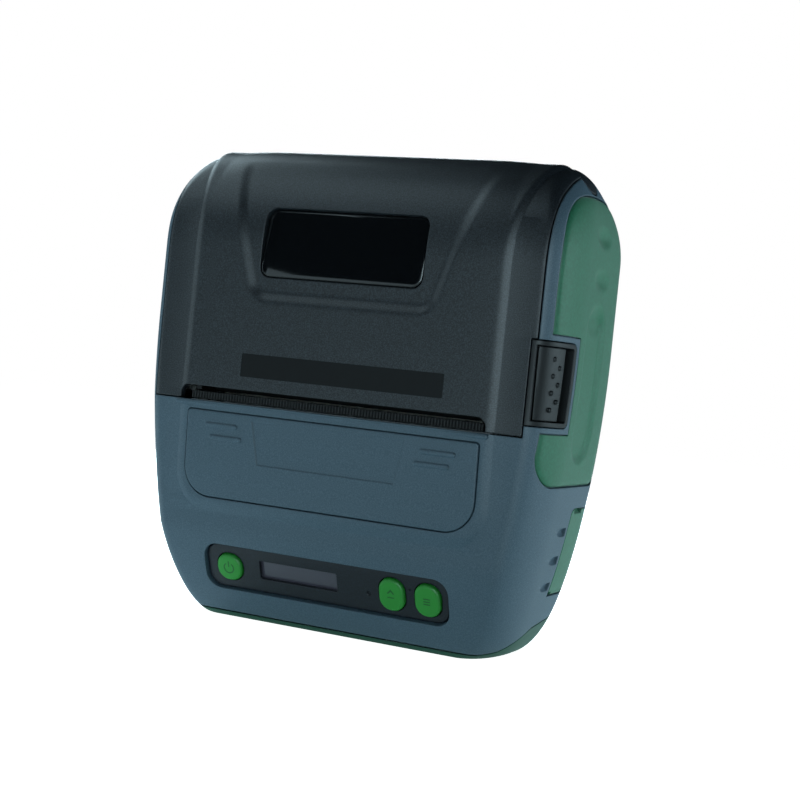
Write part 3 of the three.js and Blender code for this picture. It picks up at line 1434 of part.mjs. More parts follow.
// Pinion: a gap of it faces each rack's middle tooth
function guidePinion() {
  const step = (4 * quarterTurn) / pinionTeeth;
  const shape = toothPoints(pinionRadius - rackModule, pinionRadius + rackModule * toothTipRise);
  const points = [];
  for (let k = 0; k < pinionTeeth; k += 1) {
    for (const [share, radius] of shape) {
      const angle = rad(quarterTurn + step / 2 + (k + share) * step);
      points.push([radius * Math.cos(angle), bayY + radius * Math.sin(angle)]);
    }
  }
  return cut(prismZ(points, rackBottom, rackTop), rodZ(0, bayY, pinionBore, rackBottom - overrun,
    rackTop + overrun));
}

const pinionPost = 1.4;
const pinionBore = pinionPost + gap;
addPiece(group, 'guide_pinion', guidePinion(), acetalFinish);

// Rack bed under the trough, with the pinion's post
const bedHalf = frameHalf - gap;
const bedBeforeWall = 2;
const bedBehind = 9;
const bedFront = springWallY - bedBeforeWall;
const bedRear = bayY + bedBehind;

function rackBed() {
  const top = rackBottom - gap;
  const plate = block(-bedHalf, bedHalf, bedFront, bedRear, springWallTop + gap, top);
  return join(plate, rodZ(0, bayY, pinionPost, top - gap, rackTop));
}

addPiece(group, 'rack_bed', rackBed(), blackFinish);

// Label sensor on the front edge of the trough
const sensorX = 12;
const sensorHalf = 4;
const sensorThick = 2.2;
const sensorStartAngle = -126;
const sensorEndAngle = -112;
addPiece(group, 'label_sensor', prismX([
  ...arcPoints(bayY, bayZ, bayRadius - gap, sensorStartAngle, sensorEndAngle, 3),
  ...arcPoints(bayY, bayZ, bayRadius - gap - sensorThick, sensorEndAngle, sensorStartAngle, 3),
], sensorX - sensorHalf, sensorX + sensorHalf), blackFinish);

// Main board, port and contacts
const mainBoardThick = 1.6;
const mainBoardBeyond = 3;
const mainBoardHalf = paperHalf + mainBoardBeyond;
const mainBoardFoot = 6;         // starts this far below the battery's foot
const mainBoardBottom = packBottom - mainBoardFoot;
const mainBoardDrop = 4;         // below the battery's top
const mainBoardTop = packTop - mainBoardDrop;
const portLift = 2.75;           // above the middle of the door
const portZ = (doorBottom + doorTop) / 2 + portLift;
const portHalf = 4.6;
const portDeep = 3.3;
const portLength = 7.5;
const portWall = 0.4;
const portBeyond = 5;            // past the board's edge
const portFloor = 1.5;
const tongueThick = 0.7;
const tongueEdge = 1.2;
const tongueRoot = 1;
const tongueTip = 0.8;

addPiece(group, 'main_board', block(-mainBoardHalf, mainBoardHalf, mainBoardFront, mainBoardFront
  + mainBoardThick,
  mainBoardBottom, mainBoardTop), boardFinish);

function usbSocket() {
  const y0 = mainBoardFront + mainBoardThick + gap;
  const x0 = mainBoardHalf + portBeyond - portLength;
  const x1 = mainBoardHalf + portBeyond;
  const middle = y0 + portDeep / 2;
  const can = block(x0, x1, y0, y0 + portDeep, portZ - portHalf, portZ + portHalf);
  const hole = block(x0 + portFloor, x1 + overrun, y0 + portWall, y0 + portDeep - portWall,
    portZ - portHalf + portWall, portZ + portHalf - portWall);
  const tongue = block(x0 + tongueRoot, x1 - tongueTip, middle - tongueThick / 2, middle + tongueThick / 2,
    portZ - portHalf + tongueEdge, portZ + portHalf - tongueEdge);
  return join(cut(can, hole), tongue);
}

addPiece(group, 'usb_socket', usbSocket(), steelFinish);

const contactHalf = 10;
const contactRise = 4;           // above the battery's foot
const contactTall = 6;
const contactBottom = packBottom + contactRise;
const contactTop = contactBottom + contactTall;
const trayWall = 1.2;
const trayFront = packFront - gap - trayWall;
const contactBack = packFront - gap;
addPiece(group, 'battery_contacts', block(-contactHalf, contactHalf, mainBoardFront + mainBoardThick + gap,
  contactBack, contactBottom, contactTop), acetalFinish);

// Battery pack, flush with the rear, and its catch
const batteryPack = prismY(packOutline(0), packFront, hullRear + overrun).intersect(hull(0));
const packLatchNose = 5;
const packLatchTravel = 2;
const packLatchRise = 3.4;
const packLatchBottom = packTop + packLatchRise;
const packLatchTop = packLatchBottom + packLatchTall;
const packLatchCorner = 1;
const catchThick = 2.2;
const catchDrop = 1;
const tongueRear = hullRear - wall - gap;
const tongueFront = tongueRear - catchThick;
const ribRises = [1.5, 3, 4.5];
const ribTall = 0.7;
const ribInset = 2;
const ribRoot = 0.9;
const dishInset = 1;
const dishEdge = 0.8;
const dishDeep = 0.6;

function batteryLatch() {
  const plate = prismY(
    roundedRect(-packLatchHalf, packLatchHalf, packLatchBottom, packLatchTop, same(packLatchCorner), 3),
    tongueRear - gap, hullRear + overrun).intersect(hull(0));
  const ribs = ribRises.map((rise) => block(ribInset - packLatchHalf, packLatchHalf - ribInset,
    hullRear - ribRoot, hullRear, packLatchBottom + rise - ribTall / 2, packLatchBottom + rise
      + ribTall / 2));
  const dish = block(dishInset - packLatchHalf, packLatchHalf - dishInset, hullRear - dishDeep,
    hullRear + overrun, packLatchBottom + dishEdge, packLatchTop - dishEdge);
  const tongue = block(-packLatchNose, packLatchNose, tongueFront, tongueRear, packTop + gap,
    packLatchTop - catchDrop);
  return join(cut(plate, dish), ...ribs, tongue);
}

addPiece(group, 'battery_pack', batteryPack, slateFinish);
addPiece(group, 'battery_latch', batteryLatch(), blackFinish);

// Housings
const packLatchHole = prismY(
  roundedRect(-packLatchHalf - gap, packLatchHalf + gap, packLatchBottom - gap,
    packLatchTop + packLatchTravel + gap, same(packLatchCorner), 3), partingY, hullRear + overrun);
const housing = cut(shell, lidCut, barrelCut, latchHole, inlayPocket, panelHole, doorHole,
  gripPocketRight, gripPocketLeft, ...scoops());

// The battery's tray and the posts of the main board belong to the rear housing
const postInset = 5;             // from the battery's sides
const postRise = 4;              // from the battery's foot up and from its top down
const postDrop = 8;
const postRadius = 2;

function batteryTray() {
  const outside = block(-packHalf - gap - trayWall, packHalf + gap + trayWall, trayFront,
    hullRear - wall / 2,
    packBottom - gap - trayWall, packTop + gap + trayWall).intersect(hull(wall / 2));
  const tongueSlot = block(-packLatchNose - gap, packLatchNose + gap, tongueFront - gap, tongueRear + gap,
    packTop - overrun, packTop + overrun);
  const contactHole = block(-contactHalf - gap, contactHalf + gap, trayFront - overrun, packFront,
    contactBottom - gap, contactTop + gap);
  const posts = [];
  for (const x of [postInset - packHalf, packHalf - postInset]) {
    for (const z of [packBottom + postRise, packTop - postDrop]) {
      posts.push(rodY(x, z, postRadius, mainBoardFront + mainBoardThick + gap, trayFront + gap, 12));
    }
  }
  return join(cut(outside, packHole, tongueSlot, contactHole), ...posts);
}

addPiece(group, 'front_housing', cut(housing, belowBaseSeam(-seamGap), behindParting), slateFinish);
addPiece(group, 'rear_housing', join(
  cut(housing, belowBaseSeam(-seamGap), beforeParting, packHole, packLatchHole), batteryTray()),
    slateFinish);
addPiece(group, 'base_cover', shell.intersect(belowBaseSeam(0)), baseFinish);
addPiece(group, 'port_door', portDoor(), gripFinish);

export default group;
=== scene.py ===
import math

import bmesh
import bpy
import numpy as np
from mathutils import Matrix, Vector


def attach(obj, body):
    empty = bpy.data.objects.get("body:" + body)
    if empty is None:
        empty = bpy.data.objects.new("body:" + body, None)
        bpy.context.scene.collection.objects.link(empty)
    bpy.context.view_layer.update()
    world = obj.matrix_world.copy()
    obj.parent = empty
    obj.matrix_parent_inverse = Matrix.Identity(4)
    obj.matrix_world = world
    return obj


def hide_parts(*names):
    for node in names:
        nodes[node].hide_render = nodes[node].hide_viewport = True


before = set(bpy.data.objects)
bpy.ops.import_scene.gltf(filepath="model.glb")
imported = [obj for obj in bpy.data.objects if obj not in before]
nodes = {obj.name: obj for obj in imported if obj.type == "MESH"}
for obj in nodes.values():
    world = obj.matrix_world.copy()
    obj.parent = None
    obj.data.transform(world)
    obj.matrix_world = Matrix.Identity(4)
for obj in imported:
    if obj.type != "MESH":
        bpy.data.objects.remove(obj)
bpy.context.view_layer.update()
print("frame loaded, pieces:", len(nodes))

mm = 0.001                       # shapes are worked out in millimetres and put into the mesh in metres


# Materials: each is named for what the real one is

def linear(hexCode):             # sRGB hex to linear RGBA
    parts = [int(hexCode[i:i + 2], 16) / 255 for i in (1, 3, 5)]
    return tuple(c / 12.92 if c <= 0.04045 else ((c + 0.055) / 1.055) ** 2.4 for c in parts) + (1.0,)


def addNode(tree, kind, inputs=None, **settings):   # a node with its settings, values and incoming links
    node = tree.nodes.new(kind)
    for name, value in settings.items():
        setattr(node, name, value)
    for name, value in (inputs or {}).items():
        if isinstance(value, bpy.types.NodeSocket):
            tree.links.new(value, node.inputs[name])
        else:
            node.inputs[name].default_value = value
    return node


def makeMaterial(name, look):
    # look: colour, an optional lighter colour for the grain's tips (partly mottled tone, partly painted highlight),
    # roughness, grainMm and grainDepthMm for the moulded texture, edgeMm for the rounding of sharp edges, and any
    # constant socket of the shader
    material = bpy.data.materials.new(name)
    material.use_nodes = True
    tree = material.node_tree
    tree.nodes.clear()
    out = addNode(tree, "ShaderNodeOutputMaterial")
    shader = addNode(tree, "ShaderNodeBsdfPrincipled", {
        "Base Color": linear(look["colour"]), "Roughness": look["roughness"],
        **look.get("sockets", {})})
    tree.links.new(shader.outputs[0], out.inputs[0])
    place = addNode(tree, "ShaderNodeTexCoord")
    normal = None
    if look.get("edgeMm"):       # soft light on edges that the mould rounds
        normal = addNode(tree, "ShaderNodeBevel", {"Radius": look["edgeMm"] * mm}, samples=6).outputs[0]
    if look.get("grainMm"):      # spark-eroded grain of the mould
        grain = addNode(tree, "ShaderNodeTexNoise", {
            "Vector": place.outputs["Object"], "Scale": 1 / (look["grainMm"] * mm), "Detail": 2.0, "Roughness": 0.6})
        bump = addNode(tree, "ShaderNodeBump", {
            "Height": grain.outputs["Fac"], "Strength": look.get("grainStrength", 0.5),
            "Distance": look["grainDepthMm"] * mm})
        if normal is not None:
            tree.links.new(normal, bump.inputs["Normal"])
        normal = bump.outputs[0]
        # painted highlight: the grain's tips get a lighter colour, partly mottled tone and partly the light they
        # would catch
        if look.get("tipToneAndHighlight"):    # the grain's tips catch a little more light than its pits
            ramp = addNode(tree, "ShaderNodeMapRange", {
                "Value": grain.outputs["Fac"], "From Min": 0.4, "From Max": 0.68})
            mix = addNode(tree, "ShaderNodeMix", {"Factor": ramp.outputs[0]}, data_type="RGBA")
            mix.inputs[6].default_value = linear(look["colour"])    # the two colour inputs
            mix.inputs[7].default_value = linear(look["tipToneAndHighlight"])
            tree.links.new(mix.outputs[2], shader.inputs["Base Color"])
    if normal is not None:
        tree.links.new(normal, shader.inputs["Normal"])
    return material


# the second, lighter colour in these looks is painted on the grain's tips: partly mottled tone, partly painted
# highlight
looks = {
    # ABS moulded in a spark-eroded tool: fine even grain, drawn at 0.3 mm so that it shows
    "slateAbs": {"colour": "#4c6373", "tipToneAndHighlight": "#5d7584", "roughness": 0.5, "grainMm": 0.3, "grainDepthMm": 0.03,
                 "edgeMm": 0.5},
    # the same in black, a coarser spark: its grain's tips are painted grey, partly tone and partly painted highlight
    # for the glitter they show in low light
    "blackAbs": {"colour": "#171b20", "tipToneAndHighlight": "#3a4149", "roughness": 0.42, "grainMm": 0.32, "grainDepthMm": 0.05,
                 "edgeMm": 0.5},
    # polished acrylic sheet, tinted black: a mirror-like pane with a thin hard coat
    "blackAcrylic": {"colour": "#141619", "roughness": 0.06, "edgeMm": 0.5, "sockets": {"Coat Weight": 0.4}},
    # soft moulded TPU: satin, with a slight bloom at grazing angles
    "greenTpu": {"colour": "#1b724e", "tipToneAndHighlight": "#227f5a", "roughness": 0.5, "grainMm": 0.8, "grainDepthMm": 0.02,
                 "edgeMm": 0.6, "sockets": {"Sheen Weight": 0.3, "Sheen Roughness": 0.4}},
    # moulded silicone rubber of the keys: bright colour, satin
    "greenSilicone": {"colour": "#2ea437", "roughness": 0.45, "edgeMm": 0.4},
    # the same rubber as the grips in a darker batch, without grain
    "baseTpu": {"colour": "#1f5a44", "roughness": 0.5, "edgeMm": 0.5},
    # matt hard-coated polyester film over the panel
    "panelFilm": {"colour": "#121821", "tipToneAndHighlight": "#1b2430", "roughness": 0.35, "grainMm": 0.4, "grainDepthMm": 0.02,
                  "edgeMm": 0.4},
    # cover glass of a switched-off display: grey behind a gloss
    "displayGlass": {"colour": "#55525e", "roughness": 0.12, "sockets": {"Coat Weight": 0.5}},
    # ABS of the inner parts: near black, matt, hides in the shade
    "innerAbs": {"colour": "#0b0e10", "roughness": 0.5, "edgeMm": 0.3},
    # thermoplastic rubber of the latch: black with a dull highlight
    "blackTpe": {"colour": "#101316", "roughness": 0.42, "edgeMm": 0.4, "sockets": {"Specular IOR Level": 0.35}},
    # ground rubber of the platen: almost no gloss
    "platenRubber": {"colour": "#1b1c1d", "roughness": 0.8},
    # cold-rolled sheet and drawn rod: soft metallic gloss
    "rolledSteel": {"colour": "#a9adb1", "roughness": 0.35, "sockets": {"Metallic": 1.0}},
    # spring wire painted dark and dull: painted shade of the dark latch recess it sits in
    "springSteelPaintedShade": {"colour": "#15171a", "roughness": 0.5},
    # extruded aluminium of the heat sink: paler, satin metal
    "extrudedAluminium": {"colour": "#b9bcc0", "roughness": 0.4, "sockets": {"Metallic": 1.0}},
    # moulded acetal of gears and bushes: off-white, waxy
    "whiteAcetal": {"colour": "#e4e4de", "roughness": 0.45},
    # glass-fibre laminate of the boards under green solder mask
    "greenLaminate": {"colour": "#1d5a36", "roughness": 0.45},
    # glazed ceramic strip of the print head
    "glazedCeramic": {"colour": "#d9d5c8", "roughness": 0.3},
    # matt black film of the strip above the slot
    "inkFilm": {"colour": "#0a0d10", "roughness": 0.55, "sockets": {"Specular IOR Level": 0.25}},
    # printed marks of the keys: a darker green than the rubber
    "markPaint": {"colour": "#1a6a2a", "roughness": 0.5},
}
materials = {name: makeMaterial(name, look) for name, look in looks.items()}
print("materials made:", len(materials))


# Shapes: arrays of points on a grid, put into meshes at once

def meshPiece(name, points, faces):
    # points in millimetres, put into a new mesh in metres
    mesh = bpy.data.meshes.new(name)
    mesh.from_pydata(np.asarray(points, float).reshape(-1, 3) * mm, [], faces)
    mesh.update()
    piece = bpy.data.objects.new(name, mesh)
    bpy.context.scene.collection.objects.link(piece)
    return piece


def gridFaces(rows, cols, wrap):
    # quads between neighbouring points of a rows x cols grid; wrap joins the last column to the first
    a = np.arange(rows - 1)[:, None] * cols + np.arange(cols if wrap else cols - 1)[None, :]
    b = np.arange(rows - 1)[:, None] * cols + (np.arange(cols if wrap else cols - 1)[None, :] + 1) % cols
    return np.stack([a, b, b + cols, a + cols], -1).reshape(-1, 4).tolist()


def skinPiece(name, rings, flip=False):
    # closed profiles (rows x cols x 3) carried along a path, with a flat end at each side
    rings = np.asarray(rings, float)
    rows, cols = rings.shape[:2]
    faces = gridFaces(rows, cols, True)
    faces.append(list(range(cols))[::-1])
    faces.append([(rows - 1) * cols + j for j in range(cols)])
    if flip:
        faces = [face[::-1] for face in faces]
    return meshPiece(name, rings, faces)


def outward(piece):
    # a closed piece whose signed volume is negative has its faces turned round
    work = bmesh.new()
    work.from_mesh(piece.data)
    if work.calc_volume(signed=True) < 0:
        bmesh.ops.reverse_faces(work, faces=work.faces)
    work.to_mesh(piece.data)
    work.free()
    return piece


axisOrder = {"x": (2, 0, 1), "y": (0, 2, 1), "z": (0, 1, 2)}


def prism(name, outline, axis, start, end):
    # an outline (n x 2) carried along one axis; across "x" it is (y, z), across "y" (x, z), across "z" (x, y)
    outline = np.asarray(outline, float)
    rings = np.zeros((2, len(outline), 3))
    rings[:, :, 0] = outline[:, 0]
    rings[:, :, 1] = outline[:, 1]
    rings[0, :, 2], rings[1, :, 2] = start, end
    return outward(skinPiece(name, rings[:, :, axisOrder[axis]]))


def softPrism(name, outlineAt, axis, front, back, edge, steps=5, backEdge=0.0):
    # an outline carried along an axis, its front edge rolled over by a quarter circle of radius edge;
    # outlineAt(grow) gives the outline grown by that much
    angles = np.linspace(0, math.pi / 2, steps)
    levels = [(front + edge * (1 - math.sin(t)), -edge * (1 - math.cos(t))) for t in angles[::-1]]
    levels += [(back - backEdge, 0.0)]
    if backEdge:
        levels.append((back, -backEdge))
    rings = []
    for depth, grow in levels:
        outline = np.asarray(outlineAt(grow), float)
        rings.append(np.column_stack([outline, np.full(len(outline), depth)]))
    return outward(skinPiece(name, np.array(rings)[:, :, axisOrder[axis]]))


def roundedRect(left, right, bottom, top, radius, steps=8):
    # a rectangle whose corners are quarter circles
    t = np.linspace(0, math.pi / 2, steps)
    corners = [(left + radius, bottom + radius, math.pi), (right - radius, bottom + radius, 1.5 * math.pi),
               (right - radius, top - radius, 0), (left + radius, top - radius, 0.5 * math.pi)]
    return np.vstack([np.column_stack([u + radius * np.cos(t + a), v + radius * np.sin(t + a)])
                      for u, v, a in corners])


def block(name, x0, x1, y0, y1, z0, z1):    # a rectangle in x and y carried along z
    return prism(name, [(x0, y0), (x1, y0), (x1, y1), (x0, y1)], "z", z0, z1)


def turned(piece, origin, angle):
    # shapes on a leaning panel are written upright, then turned about X and set on the case
    piece.data.transform(Matrix.Translation(Vector(origin) * mm) @ Matrix.Rotation(angle, 4, "X"))
    return piece


def carve(piece, tools, kind="DIFFERENCE", keep=False):
    # the piece less the tools, or joined to them, or what both share; the tools go unless they are kept
    for tool in tools:
        change = piece.modifiers.new("carve", "BOOLEAN")
        change.operation = kind
        change.object = tool
        change.solver = "MANIFOLD"
    bpy.context.view_layer.update()
    graph = bpy.context.evaluated_depsgraph_get()
    mesh = bpy.data.meshes.new_from_object(piece.evaluated_get(graph))
    piece.modifiers.clear()
    piece.data = mesh
    if not keep:
        for tool in tools:
            bpy.data.objects.remove(tool)
    return piece


def copyPiece(piece, name):
    copy = piece.copy()
    copy.data = piece.data.copy()
    copy.name = name
    bpy.context.scene.collection.objects.link(copy)
    return copy


def dress(piece, material, body, slot, *replaced, angle=32):
    # material, shading that turns sharp past the angle, body to ride on, slot (not used), and the CAD nodes it stands
    # for
    mesh = piece.data
    mesh.materials.clear()
    mesh.materials.append(materials[material])
    mesh.polygons.foreach_set("material_index", np.zeros(len(mesh.polygons), dtype=np.int32))
    mesh.shade_smooth()
    mesh.set_sharp_from_angle(angle=math.radians(angle))
    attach(piece, body)
    if replaced:
        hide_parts(*replaced)
    return piece


# The case's form

caseForm = {
    "height": 135.9, "halfWidth": 63.4, "depth": 60.0, "shieldRise": 1.5, "wall": 2.2, "gap": 0.3, "seam": 0.4,
    "baseHalf": 45.2, "footRise": 85.9, "footPower": 1.9, "crownHalf": 53.3, "crownDrop": 23.9,
    "toeDepth": 14.3, "toeRise": 26.0, "toePower": 1.24, "leanBack": 2.25, "heelDepth": 6.0, "heelRise": 14.0,
    "domeMiddle": -5.0, "frontDomeRise": 28.7, "rearDomeRise": 23.5, "frontWide": 7.5, "frontLong": 18.0,
    "rearCorner": 17.3, "slotHeight": 62.0,
}
c = caseForm
hullTop = c["height"] - c["shieldRise"]
hullFront = c["shieldRise"] - c["depth"] / 2
hullRear = c["depth"] / 2
domeFoot = hullTop - c["frontDomeRise"]
far = 80.0                       # past everything that a cut must clear


def arc(share, power):           # height of a power arc of unit width and height
    return (1 - np.clip(share, 0, 1) ** power) ** (1 / power)


def halfWidthAt(z):
    # a power arc widens the case from its base up, and a quarter ellipse narrows it to the crown
    low = c["baseHalf"] + (c["halfWidth"] - c["baseHalf"]) * arc((c["footRise"] - z) / c["footRise"], c["footPower"])
    high = c["crownHalf"] + (c["halfWidth"] - c["crownHalf"]) * arc(
        (z - hullTop + c["crownDrop"]) / c["crownDrop"], 2)
    return np.where(z < c["footRise"], low, high)


def frontAt(z):
    # a power arc for the toe, a straight lean up to the slot, upright above it, a quarter ellipse for the dome
    toe = hullFront + c["toeDepth"] - (c["toeDepth"] - c["leanBack"]) * arc(
        (c["toeRise"] - z) / c["toeRise"], c["toePower"])
    lean = hullFront + c["leanBack"] * (c["slotHeight"] - z) / (c["slotHeight"] - c["toeRise"])
    dome = c["domeMiddle"] - (c["domeMiddle"] - hullFront) * arc((z - domeFoot) / c["frontDomeRise"], 2)
    return np.where(z < c["toeRise"], toe, np.where(z < c["slotHeight"], lean, dome))


def rearAt(z):
    # quarter ellipses for the heel and for the rear of the dome, upright between them
    heel = hullRear - c["heelDepth"] + c["heelDepth"] * arc((c["heelRise"] - z) / c["heelRise"], 2)
    dome = c["domeMiddle"] + (hullRear - c["domeMiddle"]) * arc(
        (z - hullTop + c["rearDomeRise"]) / c["rearDomeRise"], 2)
    return np.where(z < c["heelRise"], heel, dome)


def ringAt(z, inset, steps=14):
    # one level of the case: a rectangle with quarter-ellipse corners, drawn in by inset
    half = halfWidthAt(z) - inset
    front = frontAt(z) + inset
    rear = rearAt(z) - inset
    fa, ra = c["frontWide"] - inset, c["rearCorner"] - inset
    fd = np.minimum(c["frontLong"] - inset, (rear - front) * 0.45)
    rd = np.minimum(ra, (rear - front) * 0.45)
    t = np.linspace(0, math.pi / 2, steps)[None, :]
    z = np.asarray(z, float)
    level = inset + z * (hullTop - 2 * inset) / hullTop
    parts = []
    for x, y, across, deep, start in ((half - fa, front + fd, fa, fd, 1.5), (half - ra, rear - rd, ra, rd, 0),
                                      (ra - half, rear - rd, ra, rd, 0.5), (fa - half, front + fd, fa, fd, 1)):
        turn = t + start * math.pi
        px = np.broadcast_to(np.asarray(x)[:, None], (len(z), steps)) + across * np.cos(turn)
        py = np.asarray(y)[:, None] + np.asarray(deep)[:, None] * np.sin(turn)
        parts.append(np.stack([px, py, np.broadcast_to(level[:, None], px.shape)], -1))
    return np.concatenate(parts, 1)


levels = np.concatenate([
    c["toeRise"] * np.linspace(0, 1, 30) ** 1.6,
    np.linspace(c["toeRise"], domeFoot, 42)[1:],
    domeFoot + c["frontDomeRise"] * np.sin(np.radians(np.linspace(0, 88.5, 48)[1:]))])


def hull(name, inset):           # all levels of the case, drawn in by inset, as one closed solid
    return skinPiece(name, ringAt(levels, inset))


# Raised shield up the front and over the top: a band of flat profiles with sloped sides, carried along the
# case's middle line, with the sunk U round the window pressed into it
shieldForm = {"foot": 29.5, "half": 45.6, "bevel": 4.5, "corner": 13.0, "sink": 0.3, "crownSink": 2.2, "root": 3.5,
              "widen": 6.2, "flat": 32.0, "shoulder": 0.5, "crownEase": 0.13}
recessForm = {"footZ": 90.6, "footHalf": 28.0, "topZ": 130.0, "topHalf": 40.0, "corner": 5.0, "flank": 3.0,
              "depth": 1.35, "fade": 26.0}


def blendStep(t):                # eased rise from 0 to 1, straighter than a full smooth step
    t = np.clip(t, 0, 1)
    return 0.45 * t + 0.55 * t * t * (3 - 2 * t)


def middleLine():
    # the case's front, dome and rear in the plane x = 0, with the outward normal at each point
    foot = shieldForm["foot"]
    z = np.concatenate([foot + np.linspace(0, 16, 40), np.linspace(foot + 16, 84, 40)[1:],
                        np.linspace(84, domeFoot, 28)[1:]])
    front = np.column_stack([np.where(z < c["slotHeight"], frontAt(z), hullFront), z])
    t = np.radians(np.linspace(0, 89, 74)[1:])
    dome = np.column_stack([c["domeMiddle"] - (c["domeMiddle"] - hullFront) * np.cos(t),
                            domeFoot + c["frontDomeRise"] * np.sin(t)])
    t = np.radians(np.linspace(88, 44, 34))
    rear = np.column_stack([c["domeMiddle"] + (hullRear - c["domeMiddle"]) * np.cos(t),
                            hullTop - c["rearDomeRise"] + c["rearDomeRise"] * np.sin(t)])
    line = np.vstack([front, dome, rear])
    step = np.gradient(line, axis=0)
    step /= np.linalg.norm(step, axis=1)[:, None]
    return line, np.column_stack([-step[:, 1], step[:, 0]])


def shield(name):
    # each profile across the band is flat, its sides slope down and are eased at both ends; its height fades out
    # at the foot and at the rear, and the U is pressed in by the distance from its edge
    line, normal = middleLine()
    y, z = line.T
    climb = np.where(z < shieldForm["foot"] + shieldForm["corner"], z - shieldForm["foot"], shieldForm["corner"])
    climb = np.where(y > c["domeMiddle"], shieldForm["corner"], climb)
    crown = np.clip((z - domeFoot) / c["frontDomeRise"], 0, 1) ** 2
    outer = shieldForm["half"] + shieldForm["bevel"] + shieldForm["widen"] * crown - shieldForm["corner"] * (
        1 - arc(1 - climb / shieldForm["corner"], 2))
    fade = np.where(y > c["domeMiddle"], (y[-1] - y) / (y[-1] - c["domeMiddle"]), 1.0)
    grow = blendStep(np.minimum(np.minimum(climb / shieldForm["bevel"], fade * 2), 1))
    sink = shieldForm["sink"] + shieldForm["crownSink"] * crown
    share = np.concatenate([np.linspace(-1, -0.86, 14), np.linspace(-0.86, 0.86, 170)[1:-1],
                            np.linspace(0.86, 1, 14)])
    x = outer[:, None] * share[None, :]
    rise = blendStep((outer[:, None] - np.abs(x)) / shieldForm["bevel"])
    top = -shieldForm["sink"] + (c["shieldRise"] - shieldForm["crownEase"] * crown + shieldForm["sink"]) * grow
    lift = -sink[:, None] + (top + sink)[:, None] * rise
    shoulder = np.clip((np.abs(x) - shieldForm["flat"]) / (shieldForm["half"] - shieldForm["flat"]), 0, 1)
    lift = lift - shieldForm["shoulder"] * shoulder ** 2 * grow[:, None]
    r = recessForm               # signed distance into the U, whose sides widen upwards and whose foot is rounded
    slope = (r["topHalf"] - r["footHalf"]) / (r["topZ"] - r["footZ"])
    zz = np.broadcast_to(z[:, None], x.shape)
    side = (r["footHalf"] + slope * (zz - r["footZ"]) - np.abs(x)) / math.hypot(1, slope)
    foot = zz - r["footZ"]
    inX, inZ = r["corner"] - side, r["corner"] - foot
    inside = np.where((inX > 0) & (inZ > 0), r["corner"] - np.hypot(inX, inZ), np.minimum(side, foot))
    fading = np.clip((r["topZ"] - zz) / r["fade"], 0, 1)
    inside = np.where(y[:, None] > c["domeMiddle"], 0, inside)
    lift = lift - r["depth"] * blendStep(inside / r["flank"]) * fading * (2 - fading)
    grid = np.stack([x, y[:, None] + normal[:, :1] * lift, z[:, None] + normal[:, 1:] * lift], -1)
    root = -shieldForm["root"]
    ends = [np.stack([side_ * outer, y + normal[:, 0] * root, z + normal[:, 1] * root], -1)[:, None]
            for side_ in (1, -1)]
    return outward(skinPiece(name, np.concatenate([grid] + ends, 1)))


outerForm = carve(hull("outerForm", 0), [shield("shieldBand")], "UNION")
innerForm = hull("innerForm", c["wall"])
skinForm = carve(copyPiece(outerForm, "skinForm"), [innerForm], keep=True)
print("case form made, faces:", len(skinForm.data.polygons))

# Lid zone seen from the side, and the cuts that part the lid from the body
hinge = {"y": -4.0, "z": 131.9, "barrel": 3.9, "knuckle": 42.6, "lug": 3.0}
latch = {"left": 55.8, "rear": -14.5, "bottom": 65.0, "top": 87.0, "rim": 1.6, "cupWall": 1.2, "inset": 0.8,
         "rearGap": 3.2, "corner": 1.9}
seamInset = 3.5
lidHalf = 57.0                   # the lid lies between the case's side walls


def lidTool(name, grow, rearY):
    # up from the slot, along the side seam, round a quarter ellipse to the hinge, then back over the top
    y0 = hullFront + seamInset + grow
    t = np.linspace(0, math.pi / 2, 40)
    rise = hinge["z"] - hinge["barrel"] - domeFoot
    points = [(-far, c["slotHeight"] - grow), (y0, c["slotHeight"] - grow)]
    points += list(zip(hinge["y"] - (hinge["y"] - y0) * np.cos(t), domeFoot + (rise - grow) * np.sin(t)))
    points += [(hinge["y"], hinge["z"]), (rearY, hinge["z"]), (rearY, far * 2), (-far, far * 2)]
    return prism(name, points, "x", -lidHalf - grow, lidHalf + grow)


def rodX(name, y, z, radius, x0, x1, sides=64):     # a circle carried along x
    t = np.linspace(0, 2 * math.pi, sides, endpoint=False)
    return prism(name, np.column_stack([y + radius * np.cos(t), z + radius * np.sin(t)]), "x", x0, x1)


def latchBox(name, left, grow):  # the recess at the corner, its rear corners rounded
    outline = roundedRect(-far, latch["rear"] + grow, latch["bottom"] - grow, latch["top"] + grow,
                          latch["corner"] + grow)
    return prism(name, outline, "x", left, far)


# Leaning panels
lean = math.atan(c["leanBack"] / (c["slotHeight"] - c["toeRise"]))
leanOrigin = (0, hullFront - c["shieldRise"], c["slotHeight"])
panelForm = {"topZ": 21.6, "bottomZ": 9.1, "half": 37.7, "sink": 0.9, "corner": 4.2, "thick": 2.4}
panelFront = [float(frontAt(np.array(z))) for z in (panelForm["bottomZ"], panelForm["topZ"])]
panelTilt = math.atan((panelFront[0] - panelFront[1]) / (panelForm["topZ"] - panelForm["bottomZ"]))
panelHigh = (panelForm["topZ"] - panelForm["bottomZ"]) / math.cos(panelTilt)
panelOrigin = (0, sum(panelFront) / 2 + panelForm["sink"], (panelForm["topZ"] + panelForm["bottomZ"]) / 2)

inlayForm = {"top": -3.0, "bottom": -27.2, "half": 44.5, "thick": 1.4, "corner": 8.5, "topCorner": 1.0}


